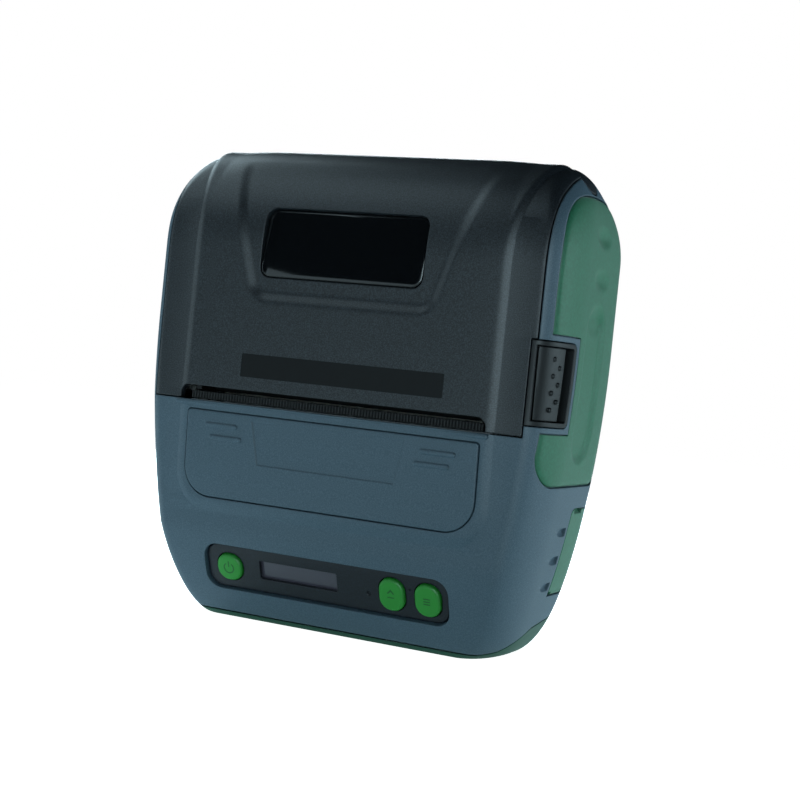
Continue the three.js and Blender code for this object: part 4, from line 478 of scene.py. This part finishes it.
def inlayOutline(grow, steps=10):
    # lower corners large, upper corners small
    f = inlayForm
    t = np.linspace(0, math.pi / 2, steps)
    parts = []
    for x, z, radius, start in ((-f["half"], f["bottom"], f["corner"], 1),
                                (f["half"], f["bottom"], f["corner"], 1.5),
                                (f["half"], f["top"], f["topCorner"], 0),
                                (-f["half"], f["top"], f["topCorner"], 0.5)):
        cx = x + radius if x < 0 else x - radius
        cz = z + radius if z == f["bottom"] else z - radius
        parts.append(np.column_stack([cx + (radius + grow) * np.cos(t + start * math.pi),
                                      cz + (radius + grow) * np.sin(t + start * math.pi)]))
    return np.vstack(parts)


def panelOutline(grow):          # the control panel's rounded rectangle, upright
    f = panelForm
    return roundedRect(-f["half"] - grow, f["half"] + grow, -panelHigh / 2 - grow, panelHigh / 2 + grow,
                       f["corner"] + grow, 10)


gripForm = {"front": -25.2, "rear": 22.0, "bottom": 49.2, "corner": 9.0, "domeFoot": 101.0, "domeRise": 26.0,
            "domeY": -1.0, "domePower": 2.9, "depth": 1.2, "middle": (0.75, 84.0), "edge": 1.6, "edgeDrop": 0.75,
            "under": 0.75, "deepest": 1.35}


def gripOutline(grow, steps=20):
    # round lower corners and a wide dome on top, seen from the side
    f = gripForm
    front, rear, bottom = f["front"] - grow, f["rear"] + grow, f["bottom"] - grow
    t = np.linspace(0, math.pi / 2, steps)
    r = f["corner"]
    low1 = np.column_stack([front + r + r * np.cos(t + math.pi), bottom + r + r * np.sin(t + math.pi)])
    low2 = np.column_stack([rear - r + r * np.cos(t + 1.5 * math.pi), bottom + r + r * np.sin(t + 1.5 * math.pi)])
    t = np.linspace(0, math.pi, steps * 3)
    reach = np.where(np.cos(t) > 0, rear - f["domeY"], f["domeY"] - front)
    full = 2 / f["domePower"]
    dome = np.column_stack([f["domeY"] + reach * np.sign(np.cos(t)) * np.abs(np.cos(t)) ** full,
                            f["domeFoot"] + (f["domeRise"] + grow) * np.sin(t) ** full])
    return np.vstack([low1, low2, dome])


def sideX(y, z):                 # where the case's side stands at a height and depth, its rounded corners included
    half, front, rear = halfWidthAt(z), frontAt(z), rearAt(z)
    fd = np.minimum(c["frontLong"], (rear - front) * 0.45)
    rd = np.minimum(c["rearCorner"], (rear - front) * 0.45)
    inFront = np.clip((front + fd - y) / fd, 0, 0.999)
    inRear = np.clip((y - rear + rd) / rd, 0, 0.999)
    return half - c["frontWide"] * (1 - np.sqrt(1 - inFront ** 2)) - c["rearCorner"] * (1 - np.sqrt(1 - inRear ** 2))


def densify(outline, step):      # even points along a closed outline
    closed = np.vstack([outline, outline[:1]])
    length = np.concatenate([[0], np.cumsum(np.linalg.norm(np.diff(closed, axis=0), axis=1))])
    keep = np.concatenate([[True], np.diff(length) > 1e-6])
    at = np.linspace(0, length[-1], int(length[-1] / step), endpoint=False)
    return np.column_stack([np.interp(at, length[keep], closed[keep, k]) for k in (0, 1)])


channelForm = {"front": -8.5, "wide": 16.0, "bottom": 55.0, "top": 99.0, "depth": 0.95, "edge": 2.4}
dimpleForm = {"heights": (116.8, 105.4, 93.4), "y": 0.0, "radiusY": 6.6, "radiusZ": 3.2, "depth": 1.15}


def gripPiece(name, side):
    # the outline drawn in towards its middle in rings; each point lies on the case's side, less the channel,
    # the dimples and the rolled edge
    outline = densify(gripOutline(0), 0.8)
    g = gripForm
    middle = np.array(g["middle"])
    share = 1 - np.linspace(0, 1, 64) ** 1.6 * 0.995
    share = share[:, None, None]
    yz = middle + (outline - middle)[None] * share
    y, z = yz[..., 0], yz[..., 1]
    edge = np.linalg.norm((outline - middle)[None] * (1 - share), axis=-1)
    drop = g["edgeDrop"] * (1 - np.sqrt(1 - (1 - np.clip(edge / g["edge"], 0, 1)) ** 2))
    ch = channelForm
    r = ch["wide"] / 2
    mid = ch["front"] + r
    nearest = np.clip(z, ch["bottom"] + r, ch["top"] - r)
    away = r - np.hypot(y - mid, z - nearest)
    drop = drop + ch["depth"] * blendStep(away / ch["edge"])
    for height in dimpleForm["heights"]:
        away = np.hypot((y - dimpleForm["y"]) / dimpleForm["radiusY"], (z - height) / dimpleForm["radiusZ"])
        drop = drop + dimpleForm["depth"] * np.clip(1 - away ** 2, 0, 1) ** 1.5
    drop = np.minimum(drop, g["deepest"])
    top = np.stack([side * (sideX(y, z) - drop), y, z], -1)
    under = np.stack([side * (sideX(y, z) - g["depth"] - g["under"]), y, z], -1)[::8]
    return outward(skinPiece(name, np.concatenate([top[::-1], under], 0)))


doorForm = {"front": 4.0, "rear": 16.0, "bottom": 18.0, "top": 42.5, "corner": 2.0, "bead": 1.0, "thick": 2.0,
            "notch": 1.2, "notchFront": 6.0, "notchRear": 12.0, "footRoom": 3.0}


def doorOutline(grow):           # the door's rounded rectangle, seen from the side
    f = doorForm
    return roundedRect(f["front"] - grow, f["rear"] + grow, f["bottom"] - grow, f["top"] + grow, f["corner"] + grow)


seamLine = ((hullRear + far, 30.0), (hullRear, 13.0), (3.0, 8.4), (-9.0, 2.4), (-14.0, 1.4), (-far, 1.0))


def seamTool(name, shift):       # everything below the base cover's slanted seam
    line = [(y, z - shift) for y, z in seamLine]
    return prism(name, [(-far, -far), (hullRear + far, -far)] + line, "x", -far, far)


scoopForm = {"heights": (36.2, 28.2, 20.6), "out": 3.5, "depth": 1.1, "long": 7.0, "tall": 1.8, "before": 3.5,
             "wall": 1.6}


def scoopTools():
    # each scoop is an ellipsoid that sinks towards the door and ends in a straight wall before it
    tools = []
    sc = scoopForm
    for k, height in enumerate(sc["heights"]):
        u, v = np.meshgrid(np.linspace(0, math.pi, 20), np.linspace(0, 2 * math.pi, 32, endpoint=False),
                           indexing="ij")
        x = float(halfWidthAt(np.array(height))) + sc["out"] - sc["depth"] + sc["out"] * np.sin(u) * np.cos(v)
        y = doorForm["front"] - sc["before"] + sc["long"] * np.cos(u)
        z = height + sc["tall"] * np.sin(u) * np.sin(v)
        ball = outward(skinPiece("scoop%d" % k, np.stack([x, y, z], -1)[1:-1]))
        tools.append(carve(ball, [block("scoopEnd", 0, far, doorForm["front"] - sc["wall"], far, 0, far * 2)]))
    return tools


gapNow = c["gap"]
seam = c["seam"]

# Body shell
bodyCuts = [
    carve(lidTool("lidRoom", seam, hinge["y"] + hinge["barrel"] + seam), [block(
        "latchCorner", latch["left"], far, -far, latch["rear"], c["slotHeight"] - 20, latch["bottom"] + seam)]),
    rodX("barrelRoom", hinge["y"], hinge["z"], hinge["barrel"] + seam, -far, far),
    latchBox("latchRoom", latch["left"] - gapNow, gapNow),
    turned(prism("inlayRoom", inlayOutline(gapNow), "y", -far, inlayForm["thick"] + gapNow), leanOrigin, lean),
    turned(prism("panelRoom", panelOutline(gapNow), "y", -far, 12.0), panelOrigin, panelTilt),
    prism("doorRoom", doorOutline(gapNow), "x", 0, far),
    block("doorFoot", 0, far, doorForm["front"] - gapNow, doorForm["rear"] + gapNow, doorForm["bottom"] - gapNow,
          doorForm["bottom"] + doorForm["footRoom"]),
]
for side in (1, -1):
    tool = prism("gripRoom", gripOutline(gapNow), "x", min(side * 30, side * far), max(side * 30, side * far))
    if side > 0:
        rim = latch["rim"] + 0.4 - gapNow
        tool = carve(tool, [block("gripNotch", 0, far, -far, latch["rear"] + rim, latch["bottom"] - rim,
                                  latch["top"] + rim)])
    band = carve(hull("gripBandOut", -3.0), [hull("gripBandIn", gripForm["depth"] + gapNow)])
    bodyCuts.append(carve(tool, [band], "INTERSECT"))
body = carve(copyPiece(skinForm, "body"), bodyCuts + scoopTools())
partingY = 22.5                  # front and rear housing meet here
frontShell = carve(copyPiece(body, "frontShell"), [seamTool("seamLow", -seam),
                                                  block("rearHalf", -far, far, partingY, far, -far, far * 2)])
packForm = {"half": 37.0, "bottom": 20.0, "top": 62.0, "front": 10.0, "corner": 4.0}


def packOutline(grow):           # the battery pack seen from the rear
    f = packForm
    return roundedRect(-f["half"] - grow, f["half"] + grow, f["bottom"] - grow, f["top"] + grow, f["corner"])


rearShell = carve(body, [seamTool("seamLow2", -seam),
                         block("frontHalf", -far, far, -far, partingY + gapNow, -far, far * 2),
                         prism("packRoom", packOutline(gapNow), "y", packForm["front"], far),
                         prism("catchRoom", roundedRect(-9.3, 9.3, 65.1, 73.7, 1.0), "y", partingY, far)])
rearShell.name = "rearShell"
tray = prism("batteryTray", roundedRect(-38.5, 38.5, 18.5, 63.5, 1.0), "y", 8.5, 28.9)
tray = carve(tray, [hull("trayBound", 1.1)], "INTERSECT")
tray = carve(tray, [prism("trayRoom", packOutline(gapNow), "y", packForm["front"] - gapNow, far)])
rearShell = carve(rearShell, [tray], "UNION")
baseShell = carve(copyPiece(skinForm, "baseShell"), [seamTool("seamUp", 0)], "INTERSECT")
dress(frontShell, "slateAbs", "case", "case", "front_housing")
dress(rearShell, "slateAbs", "case", "case", "rear_housing")
dress(baseShell, "baseTpu", "case", "base", "base_cover")
print("body shells made, faces:", len(frontShell.data.polygons), len(rearShell.data.polygons))

# Rounded lip under the slot
t = np.linspace(0, 2 * math.pi, 28, endpoint=False)
lip = {"half": 47.2, "x": -1.2, "y": -29.2, "z": 60.9, "radius": 0.78}
# a circle carried along x that shrinks to a point at both ends
ends = np.concatenate([np.sin(np.linspace(0.05, math.pi / 2, 8)), np.sin(np.linspace(math.pi / 2, 3.09, 8))])
along = np.concatenate([-lip["half"] - lip["radius"] * np.cos(np.linspace(0.05, math.pi / 2, 8)),
                        lip["half"] + lip["radius"] * np.sin(np.linspace(0, math.pi / 2 - 0.05, 8))])
lipRings = np.stack([np.broadcast_to(along[:, None] + lip["x"], (16, 28)),
                     lip["y"] + lip["radius"] * ends[:, None] * np.cos(t),
                     lip["z"] + lip["radius"] * ends[:, None] * np.sin(t)], -1)
dress(outward(skinPiece("slotLip", lipRings)), "slateAbs", "case", "case")

# Lid
lidForm = {"slotHalf": 47.0, "slotX": -1.2, "slotOpen": 3.8, "slotDeep": 8.0, "windowHalf": 24.7, "windowTall": 19.2,
           "windowX": -1.4, "windowFoot": 97.9, "windowThick": 1.4, "windowCorner": 3.0, "windowSink": 0.9,
           "pinEnd": 45.9, "pinRadius": 1.4}
windowLean = -math.asin(0.5) / 3.1
windowOrigin = (lidForm["windowX"], hullFront - c["shieldRise"] + lidForm["windowSink"], lidForm["windowFoot"])


def windowOutline(grow):         # the window's rounded rectangle, upright, its foot at zero
    f = lidForm
    return roundedRect(-f["windowHalf"] - grow, f["windowHalf"] + grow, -grow, f["windowTall"] + grow,
                       f["windowCorner"] + grow)


lidZone = lidTool("lidZone", 0, hinge["y"])
lidShell = carve(skinForm, [lidZone], "INTERSECT")
lidShell.name = "lidShell"
back = carve(rodX("lidBack", hinge["y"], hinge["z"], hinge["barrel"], -c["halfWidth"], c["halfWidth"]), [outerForm],
             "INTERSECT", keep=True)
lidShell = carve(lidShell, [back], "UNION")
f = lidForm
lugOut = hinge["knuckle"] + 3 * gapNow + hinge["lug"]
lidShell = carve(lidShell, [
    block("lidCorner", latch["left"] - seam, far, -far, latch["rear"], c["slotHeight"] - 20, latch["top"] + seam),
    prism("slotRoom", roundedRect(f["slotX"] - f["slotHalf"], f["slotX"] + f["slotHalf"],
                                  c["slotHeight"] - f["slotOpen"], c["slotHeight"] + f["slotOpen"],
                                  f["slotOpen"] * 0.7), "y", -far, hullFront + f["slotDeep"]),
    turned(prism("windowRoom", windowOutline(gapNow), "y", -far, f["windowThick"] + gapNow), windowOrigin,
           windowLean),
    rodX("pinRoom", hinge["y"], hinge["z"], f["pinRadius"], -f["pinEnd"], f["pinEnd"]),
    rodX("lugRoomR", hinge["y"], hinge["z"], hinge["barrel"] + seam, hinge["knuckle"], lugOut),
    rodX("lugRoomL", hinge["y"], hinge["z"], hinge["barrel"] + seam, -lugOut, -hinge["knuckle"])])
dress(lidShell, "blackAbs", "lid", "lid", "lid_shell")
window = turned(softPrism("windowPane", windowOutline, "y", 0.0, f["windowThick"], 0.5), windowOrigin, windowLean)
dress(window, "blackAcrylic", "lid", "window", "lid_window")
print("lid made, faces:", len(lidShell.data.polygons))

# Grips
for side, name, node in ((1, "gripRight", "side_grip_right"), (-1, "gripLeft", "side_grip_left")):
    grip = gripPiece(name, side)
    if side > 0:
        rim = latch["rim"] + 0.4
        grip = carve(grip, [block("gripCorner", 0, far, -far, latch["rear"] + rim, latch["bottom"] - rim,
                                  latch["top"] + rim)])
    dress(grip, "greenTpu", "case", "grip", node)
print("grips made")

# Front inlay with its four raised bars and the shallow sunk badge place, left bare
inlay = softPrism("frontPanel", inlayOutline, "y", 0.0, inlayForm["thick"], 0.35)
badge = {"half": 21.0, "flare": 2.5, "top": -4.6, "bottom": -16.6, "depth": 0.22}
inlay = carve(inlay, [prism("badgeRoom", [(-badge["half"], badge["bottom"]), (badge["half"], badge["bottom"]),
                                          (badge["half"] + badge["flare"], badge["top"]),
                                          (-badge["half"] - badge["flare"], badge["top"])],
                            "y", -far, badge["depth"])])
bars = {"length": 10.4, "wide": 1.3, "rise": 0.5, "outer": 38.4, "step": 1.6, "heights": (-6.9, -10.3)}
for row, height in enumerate(bars["heights"]):
    for side in (-1, 1):
        outer = bars["outer"] - row * bars["step"]
        left = outer - bars["length"] if side > 0 else -outer

        def barOutline(grow, left=left, height=height):
            w = bars["wide"] / 2
            return roundedRect(left - grow, left + bars["length"] + grow, height - w - grow, height + w + grow,
                               w + grow)

        bar = softPrism("bar", barOutline, "y", -bars["rise"], 0.7, 0.4)
        inlay = carve(inlay, [bar], "UNION")
turned(inlay, leanOrigin, lean)
dress(inlay, "slateAbs", "case", "case", "front_inlay")

# Control panel: bezel, display glass and three keys
keys = {"proud": 1.1, "corner": 3.6,
        "places": (("powerKey", "power_button", "power_key", -30.2, 8.0, 8.0),
                   ("feedKey", "feed_button", "feed_key", 20.9, 7.6, 9.6),
                   ("functionKey", "function_button", "function_key", 31.6, 7.6, 9.6))}
display = {"x": -8.3, "lift": 0.45, "wide": 24.5, "tall": 5.7}


def keyOutline(x, wide, tall):   # gives the outline of one key, which grows by what it is asked for
    def outline(grow):
        r = min(keys["corner"], min(wide, tall) / 2) + grow
        return roundedRect(x - wide / 2 - grow, x + wide / 2 + grow, -tall / 2 - grow, tall / 2 + grow, max(r, 0.2))
    return outline


bezel = softPrism("panelPlate", panelOutline, "y", 0.0, panelForm["thick"], 0.5)
tools = [prism("keyRoom", keyOutline(x, wide, tall)(gapNow), "y", -far, far)
         for _, _, _, x, wide, tall in keys["places"]]
d = display
tools.append(prism("viewRoom", roundedRect(d["x"] - d["wide"] / 2, d["x"] + d["wide"] / 2, d["lift"] - d["tall"] / 2,
                                           d["lift"] + d["tall"] / 2, 0.4), "y", -far, far))
tools.append(prism("seatRoom", roundedRect(d["x"] - d["wide"] / 2 - 1.3, d["x"] + d["wide"] / 2 + 1.3,
                                           d["lift"] - d["tall"] / 2 - 1.3, d["lift"] + d["tall"] / 2 + 1.3, 0.4),
                   "y", 0.9, far))
t = np.linspace(0, 2 * math.pi, 24, endpoint=False)
for x, z, radius in ((13.8, -1.0, 0.75), (26.2, 2.2, 0.3)):
    tools.append(prism("lampRoom", np.column_stack([x + radius * np.cos(t), z + radius * np.sin(t)]), "y", -far, 0.5))
bezel = turned(carve(bezel, tools), panelOrigin, panelTilt)
dress(bezel, "panelFilm", "case", "panel", "control_bezel")
for name, node, bodyName, x, wide, tall in keys["places"]:
    cap = softPrism(name, keyOutline(x, wide, tall), "y", -keys["proud"], panelForm["thick"] + 0.7, 0.9, steps=9)
    flange = prism("flange", keyOutline(x, wide + 1.4, tall + 1.4)(0), "y", panelForm["thick"] + 0.3,
                   panelForm["thick"] + 1.1)
    cap = carve(cap, [flange], "UNION")
    dress(turned(cap, panelOrigin, panelTilt), "greenSilicone", bodyName, "button", node)


# Marks on the keys: a power sign, an arrow over a bar and three short bars
def keyMark(name, x, bodyName, shapes):     # outlines joined and pressed a little into the key's face
    marks = None
    for outline in shapes:
        mark = prism(name, outline, "y", -keys["proud"] - 0.03, -keys["proud"] + 0.4)
        marks = mark if marks is None else carve(marks, [mark], "UNION")
    marks.data.transform(Matrix.Translation(Vector((x, 0, 0)) * mm))
    dress(turned(marks, panelOrigin, panelTilt), "markPaint", bodyName, "button")


t = np.radians(np.linspace(125, 415, 30))
ring = np.vstack([np.column_stack([radius * np.cos(t), radius * np.sin(t)])[::step]
                  for radius, step in ((1.7, 1), (1.35, -1))])
markPlaces = {name: (x, bodyName) for name, _, bodyName, x, _, _ in keys["places"]}
keyMark("powerMark", *markPlaces["powerKey"], [ring, roundedRect(-0.17, 0.17, 0.3, 2.1, 0.1, 3)])
keyMark("feedMark", *markPlaces["feedKey"], [
    [(-1.1, 0.7), (0.0, 1.9), (1.1, 0.7), (0.75, 0.45), (0.0, 1.25), (-0.75, 0.45)],
    roundedRect(-1.0, 1.0, -0.7, -0.4, 0.1, 3)])
keyMark("functionMark", *markPlaces["functionKey"], [roundedRect(-1.0, 1.0, z - 0.16, z + 0.16, 0.1, 3)
                                                     for z in (-0.8, 0.0, 0.8)])
print("front panels made")

# Port door with its nail notch
doorSkin = carve(hull("doorSkin", 0), [hull("doorInner", doorForm["thick"])])
door = carve(doorSkin, [prism("doorShape", doorOutline(0), "x", 0, far)], "INTERSECT")
axisZ = doorForm["bottom"] + doorForm["bead"]
axisX = float(halfWidthAt(np.array(axisZ))) - doorForm["bead"]
door = carve(door, [block("belowAxis", 0, far, -far, far, 0, axisZ)])
t = np.linspace(0, 2 * math.pi, 40, endpoint=False)
door = carve(door, [prism("doorBead", np.column_stack([axisX + np.cos(t), axisZ + np.sin(t)]), "y",
                          doorForm["front"] + 2, doorForm["rear"] - 2)], "UNION")
topX = float(halfWidthAt(np.array(doorForm["top"])))
notch = doorForm["notch"]
nail = np.column_stack([topX + notch * np.cos(t), doorForm["top"] + notch * np.sin(t)])
door = carve(door, [prism("nailNotch", nail, "y", doorForm["notchFront"], doorForm["notchRear"])])
dress(door, "greenTpu", "door", "grip", "port_door")

# Latch: cup and button with seven raised dots
lt = latch
cup = carve(latchBox("latchCup", lt["left"], 0), [outerForm], "INTERSECT", keep=True)
cup = carve(cup, [latchBox("cupRoom", lt["left"] + lt["cupWall"], -lt["cupWall"]),
                  block("stemRoom", lt["left"] - 5, lt["left"] + 5, -22.9, -17.6, 74.1, 77.9)])
dress(cup, "blackTpe", "case", "inner", "latch_cup")
faceForm = hull("latchFaceForm", lt["inset"])
button = carve(block("latchKey", lt["left"] + lt["cupWall"] + gapNow, far,
                     -far, lt["rear"] - lt["cupWall"] - lt["rearGap"],
                     lt["bottom"] + lt["cupWall"] + gapNow, lt["top"] - lt["cupWall"] - gapNow),
               [faceForm], "INTERSECT")
cornerX, cornerY = c["halfWidth"] - c["frontWide"], hullFront + c["frontLong"]
reachX, reachY = c["frontWide"] - lt["inset"], c["frontLong"] - lt["inset"]
# Dots: half ellipsoids in two staggered rows; each row has its shift round the corner and its count
dots = {"radius": 0.65, "rise": 0.45, "sunk": 0.5, "middle": -42, "pitch": 4.4, "rows": ((-1.5, 4), (1.5, 3))}
for shift, count in dots["rows"]:
    for k in range(count):
        turn = math.radians(dots["middle"]) + shift / reachY
        u, v = np.meshgrid(np.linspace(0, math.pi / 2, 8), np.linspace(0, 2 * math.pi, 20, endpoint=False),
                           indexing="ij")
        out = dots["rise"] * np.cos(u)
        side = dots["radius"] * np.sin(u) * np.cos(v)
        up = dots["radius"] * np.sin(u) * np.sin(v)
        rings = np.stack([out, side, up], -1)[1:]
        sunk = rings[-1:] * [0, 1, 1] - [dots["sunk"], 0, 0]
        rings = np.concatenate([rings, sunk])
        dot = outward(skinPiece("dot", rings))
        height = (lt["bottom"] + lt["top"]) / 2 + (k - (count - 1) / 2) * dots["pitch"]
        place = Matrix.Translation(Vector((cornerX + reachX * math.cos(turn), cornerY + reachY * math.sin(turn),
                                           height)) * mm)
        dot.data.transform(place @ Matrix.Rotation(turn, 4, "Z"))
        button = carve(button, [dot], "UNION")
stemEnd = lt["left"] + lt["cupWall"] + gapNow
button = carve(button, [rodX("stem", -21, 76, 1.6, stemEnd - 3.3, stemEnd + gapNow, 24)], "UNION")
dress(button, "blackTpe", "release_button", "inner", "latch_button")
print("latch made")

# Blank film strip above the slot
filmForm = {"left": -28.5, "right": 33.0, "bottom": 69.5, "top": 76.0, "corner": 0.3, "proud": 0.06, "sunk": 0.2}
f = filmForm
strip = prism("filmStrip", roundedRect(f["left"], f["right"], f["bottom"], f["top"], f["corner"]), "y",
              hullFront - c["shieldRise"] - f["proud"], hullFront - c["shieldRise"] + f["sunk"])
dress(strip, "inkFilm", "lid", "inner")

# Fine teeth of the tear bar
combForm = {"half": 45.0, "pitch": 0.9, "tip": -28.3, "root": -27.5, "back": -23.4, "bottom": 62.1, "top": 64.2}
f = combForm
teeth = np.arange(-f["half"], f["half"] + 0.01, f["pitch"] / 2)
comb = list(zip(teeth, np.where(np.arange(len(teeth)) % 2, f["tip"], f["root"])))
comb += [(f["half"], f["back"]), (-f["half"], f["back"])]
dress(prism("tearComb", comb, "z", f["bottom"], f["top"]), "innerAbs", "case", "inner", "tear_bar")

# CAD nodes whose form is right get the material of the real one; the latch spring gets a dark painted shade instead
# of bare steel
kept = {
    "display_lens": "displayGlass", "display_module": "innerAbs", "button_board": "greenLaminate",
    "latch_lever": "rolledSteel", "latch_spring": "springSteelPaintedShade", "lid_liner": "innerAbs",
    "hinge_pin": "rolledSteel",
    "platen_carrier": "innerAbs", "platen_bush_right": "whiteAcetal", "platen_bush_left": "whiteAcetal",
    "platen_shaft": "rolledSteel", "platen_roller": "platenRubber", "platen_gear": "whiteAcetal",
    "idler_gear_upper": "whiteAcetal", "idler_gear_lower": "whiteAcetal", "motor_gear": "whiteAcetal",
    "motor_shaft": "rolledSteel", "mechanism_frame": "rolledSteel", "stepper_motor": "rolledSteel",
    "print_head": "glazedCeramic", "heat_sink": "extrudedAluminium", "head_pivot_pin": "rolledSteel",
    "head_spring_left": "rolledSteel", "head_spring_right": "rolledSteel",
    "paper_bay": "innerAbs", "paper_guide_left": "innerAbs", "paper_guide_right": "innerAbs",
    "guide_pinion": "whiteAcetal", "rack_bed": "innerAbs", "label_sensor": "innerAbs", "main_board": "greenLaminate",
    "usb_socket": "rolledSteel", "battery_contacts": "whiteAcetal", "battery_pack": "slateAbs",
    "battery_latch": "innerAbs",
}
for node, name in kept.items():
    for materialSlot in nodes[node].material_slots:
        materialSlot.material = materials[name]
for form in (outerForm, innerForm):
    bpy.data.objects.remove(form)

# Floor and light: a white sweep that only the camera sees, and the soft light that such a table throws back
# as a pane of its own below it
sweepForm = {"half": 1500.0, "glowDepth": 4.0, "glow": 0.22}
h = sweepForm["half"]


def shiningPaper(name, colour, strength):   # pale paper that gives off a little light of its own
    return makeMaterial(name, {"colour": "#f4f4f4", "roughness": 0.8, "sockets": {
        "Emission Color": linear(colour), "Emission Strength": strength}})


floor = meshPiece("floor", [(-h, -h, 0), (h, -h, 0), (h, h, 0), (-h, h, 0)], [(0, 1, 2, 3)])
floor.data.materials.append(shiningPaper("paleFloor", "#ffffff", 1.0))
floor.visible_diffuse = floor.visible_glossy = floor.visible_shadow = False
below = -sweepForm["glowDepth"]
glow = meshPiece("tableGlow", [(-h, -h, below), (h, -h, below), (h, h, below), (-h, h, below)], [(0, 1, 2, 3)])
glow.data.materials.append(shiningPaper("tableLight", "#dfffff", sweepForm["glow"]))
glow.visible_camera = False

# soft boxes round the object: degrees from straight ahead towards +X, degrees up, power in watts
lampForm = {"away": 650.0, "size": 350.0, "middle": 70.0, "colour": (0.76, 1.0, 1.1)}
lamps = {"rearLeft": (-150, 8, 5.6), "right": (110, 8, 1.25), "rearRight": (150, 8, 0.2), "front": (-26, -2, 0.3),
         "frontRight": (8, 8, 0.42), "bevelRight": (38, 8, 1.9), "left": (-75, 8, 0.42), "topLeft": (-110, 38, 1.2),
         "domeLeft": (-50, 50, 0.6)}
shineOnly = ("bevelRight", "domeLeft")   # these show as highlights only
for name, (round_, up, power) in lamps.items():
    f = lampForm
    a, e = math.radians(round_), math.radians(up)
    light = bpy.data.lights.new(name, "AREA")
    light.shape = "SQUARE"
    light.size = f["size"] * mm
    light.energy = power
    light.color = f["colour"]
    lamp = bpy.data.objects.new(name, light)
    lamp.location = Vector((f["away"] * math.cos(e) * math.sin(a), -f["away"] * math.cos(e) * math.cos(a),
                            f["middle"] + f["away"] * math.sin(e))) * mm
    lamp.rotation_euler = (Vector((0, 0, f["middle"])) * mm - lamp.location).to_track_quat("-Z", "Y").to_euler()
    bpy.context.scene.collection.objects.link(lamp)
    lamp.visible_diffuse = name not in shineOnly
world = bpy.data.worlds.new("studio")
world.use_nodes = True
world.node_tree.nodes["Background"].inputs[0].default_value = linear("#ffffff")
world.node_tree.nodes["Background"].inputs[1].default_value = 1.0
world.cycles_visibility.diffuse = world.cycles_visibility.glossy = False
bpy.context.scene.world = world
bpy.context.scene.view_settings.view_transform = "Standard"

# Camera: the photograph's angles in degrees, distance and offsets in millimetres, focal length in pixels
view = {"focalPx": 1509.24, "framePx": 800, "yaw": 24.89, "pitch": 1.15, "roll": 5.86, "offX": 5.96, "offY": -1.45,
        "dist": 436.22, "target": (0.0, 1.0, 68.0)}
yaw, pitch, roll = (math.radians(view[k]) for k in ("yaw", "pitch", "roll"))
forward = Vector((-math.sin(yaw) * math.cos(pitch), math.cos(yaw) * math.cos(pitch), -math.sin(pitch)))
right = Vector((math.cos(yaw), math.sin(yaw), 0))
upward = right.cross(forward)
rollRight = right * math.cos(roll) + upward * math.sin(roll)
rollUp = upward * math.cos(roll) - right * math.sin(roll)
eye = Vector(view["target"]) - forward * view["dist"] + rollRight * view["offX"] + rollUp * view["offY"]
lens = bpy.data.cameras.new("photoCamera")
lens.sensor_width = 36.0
lens.lens = view["focalPx"] * lens.sensor_width / view["framePx"]
lens.clip_start = 0.01
camera = bpy.data.objects.new("photoCamera", lens)
turn = Matrix((rollRight, rollUp, -forward)).transposed().to_4x4()
camera.matrix_world = Matrix.Translation(eye * mm) @ turn
bpy.context.scene.collection.objects.link(camera)
bpy.context.scene.camera = camera
print("stage set")
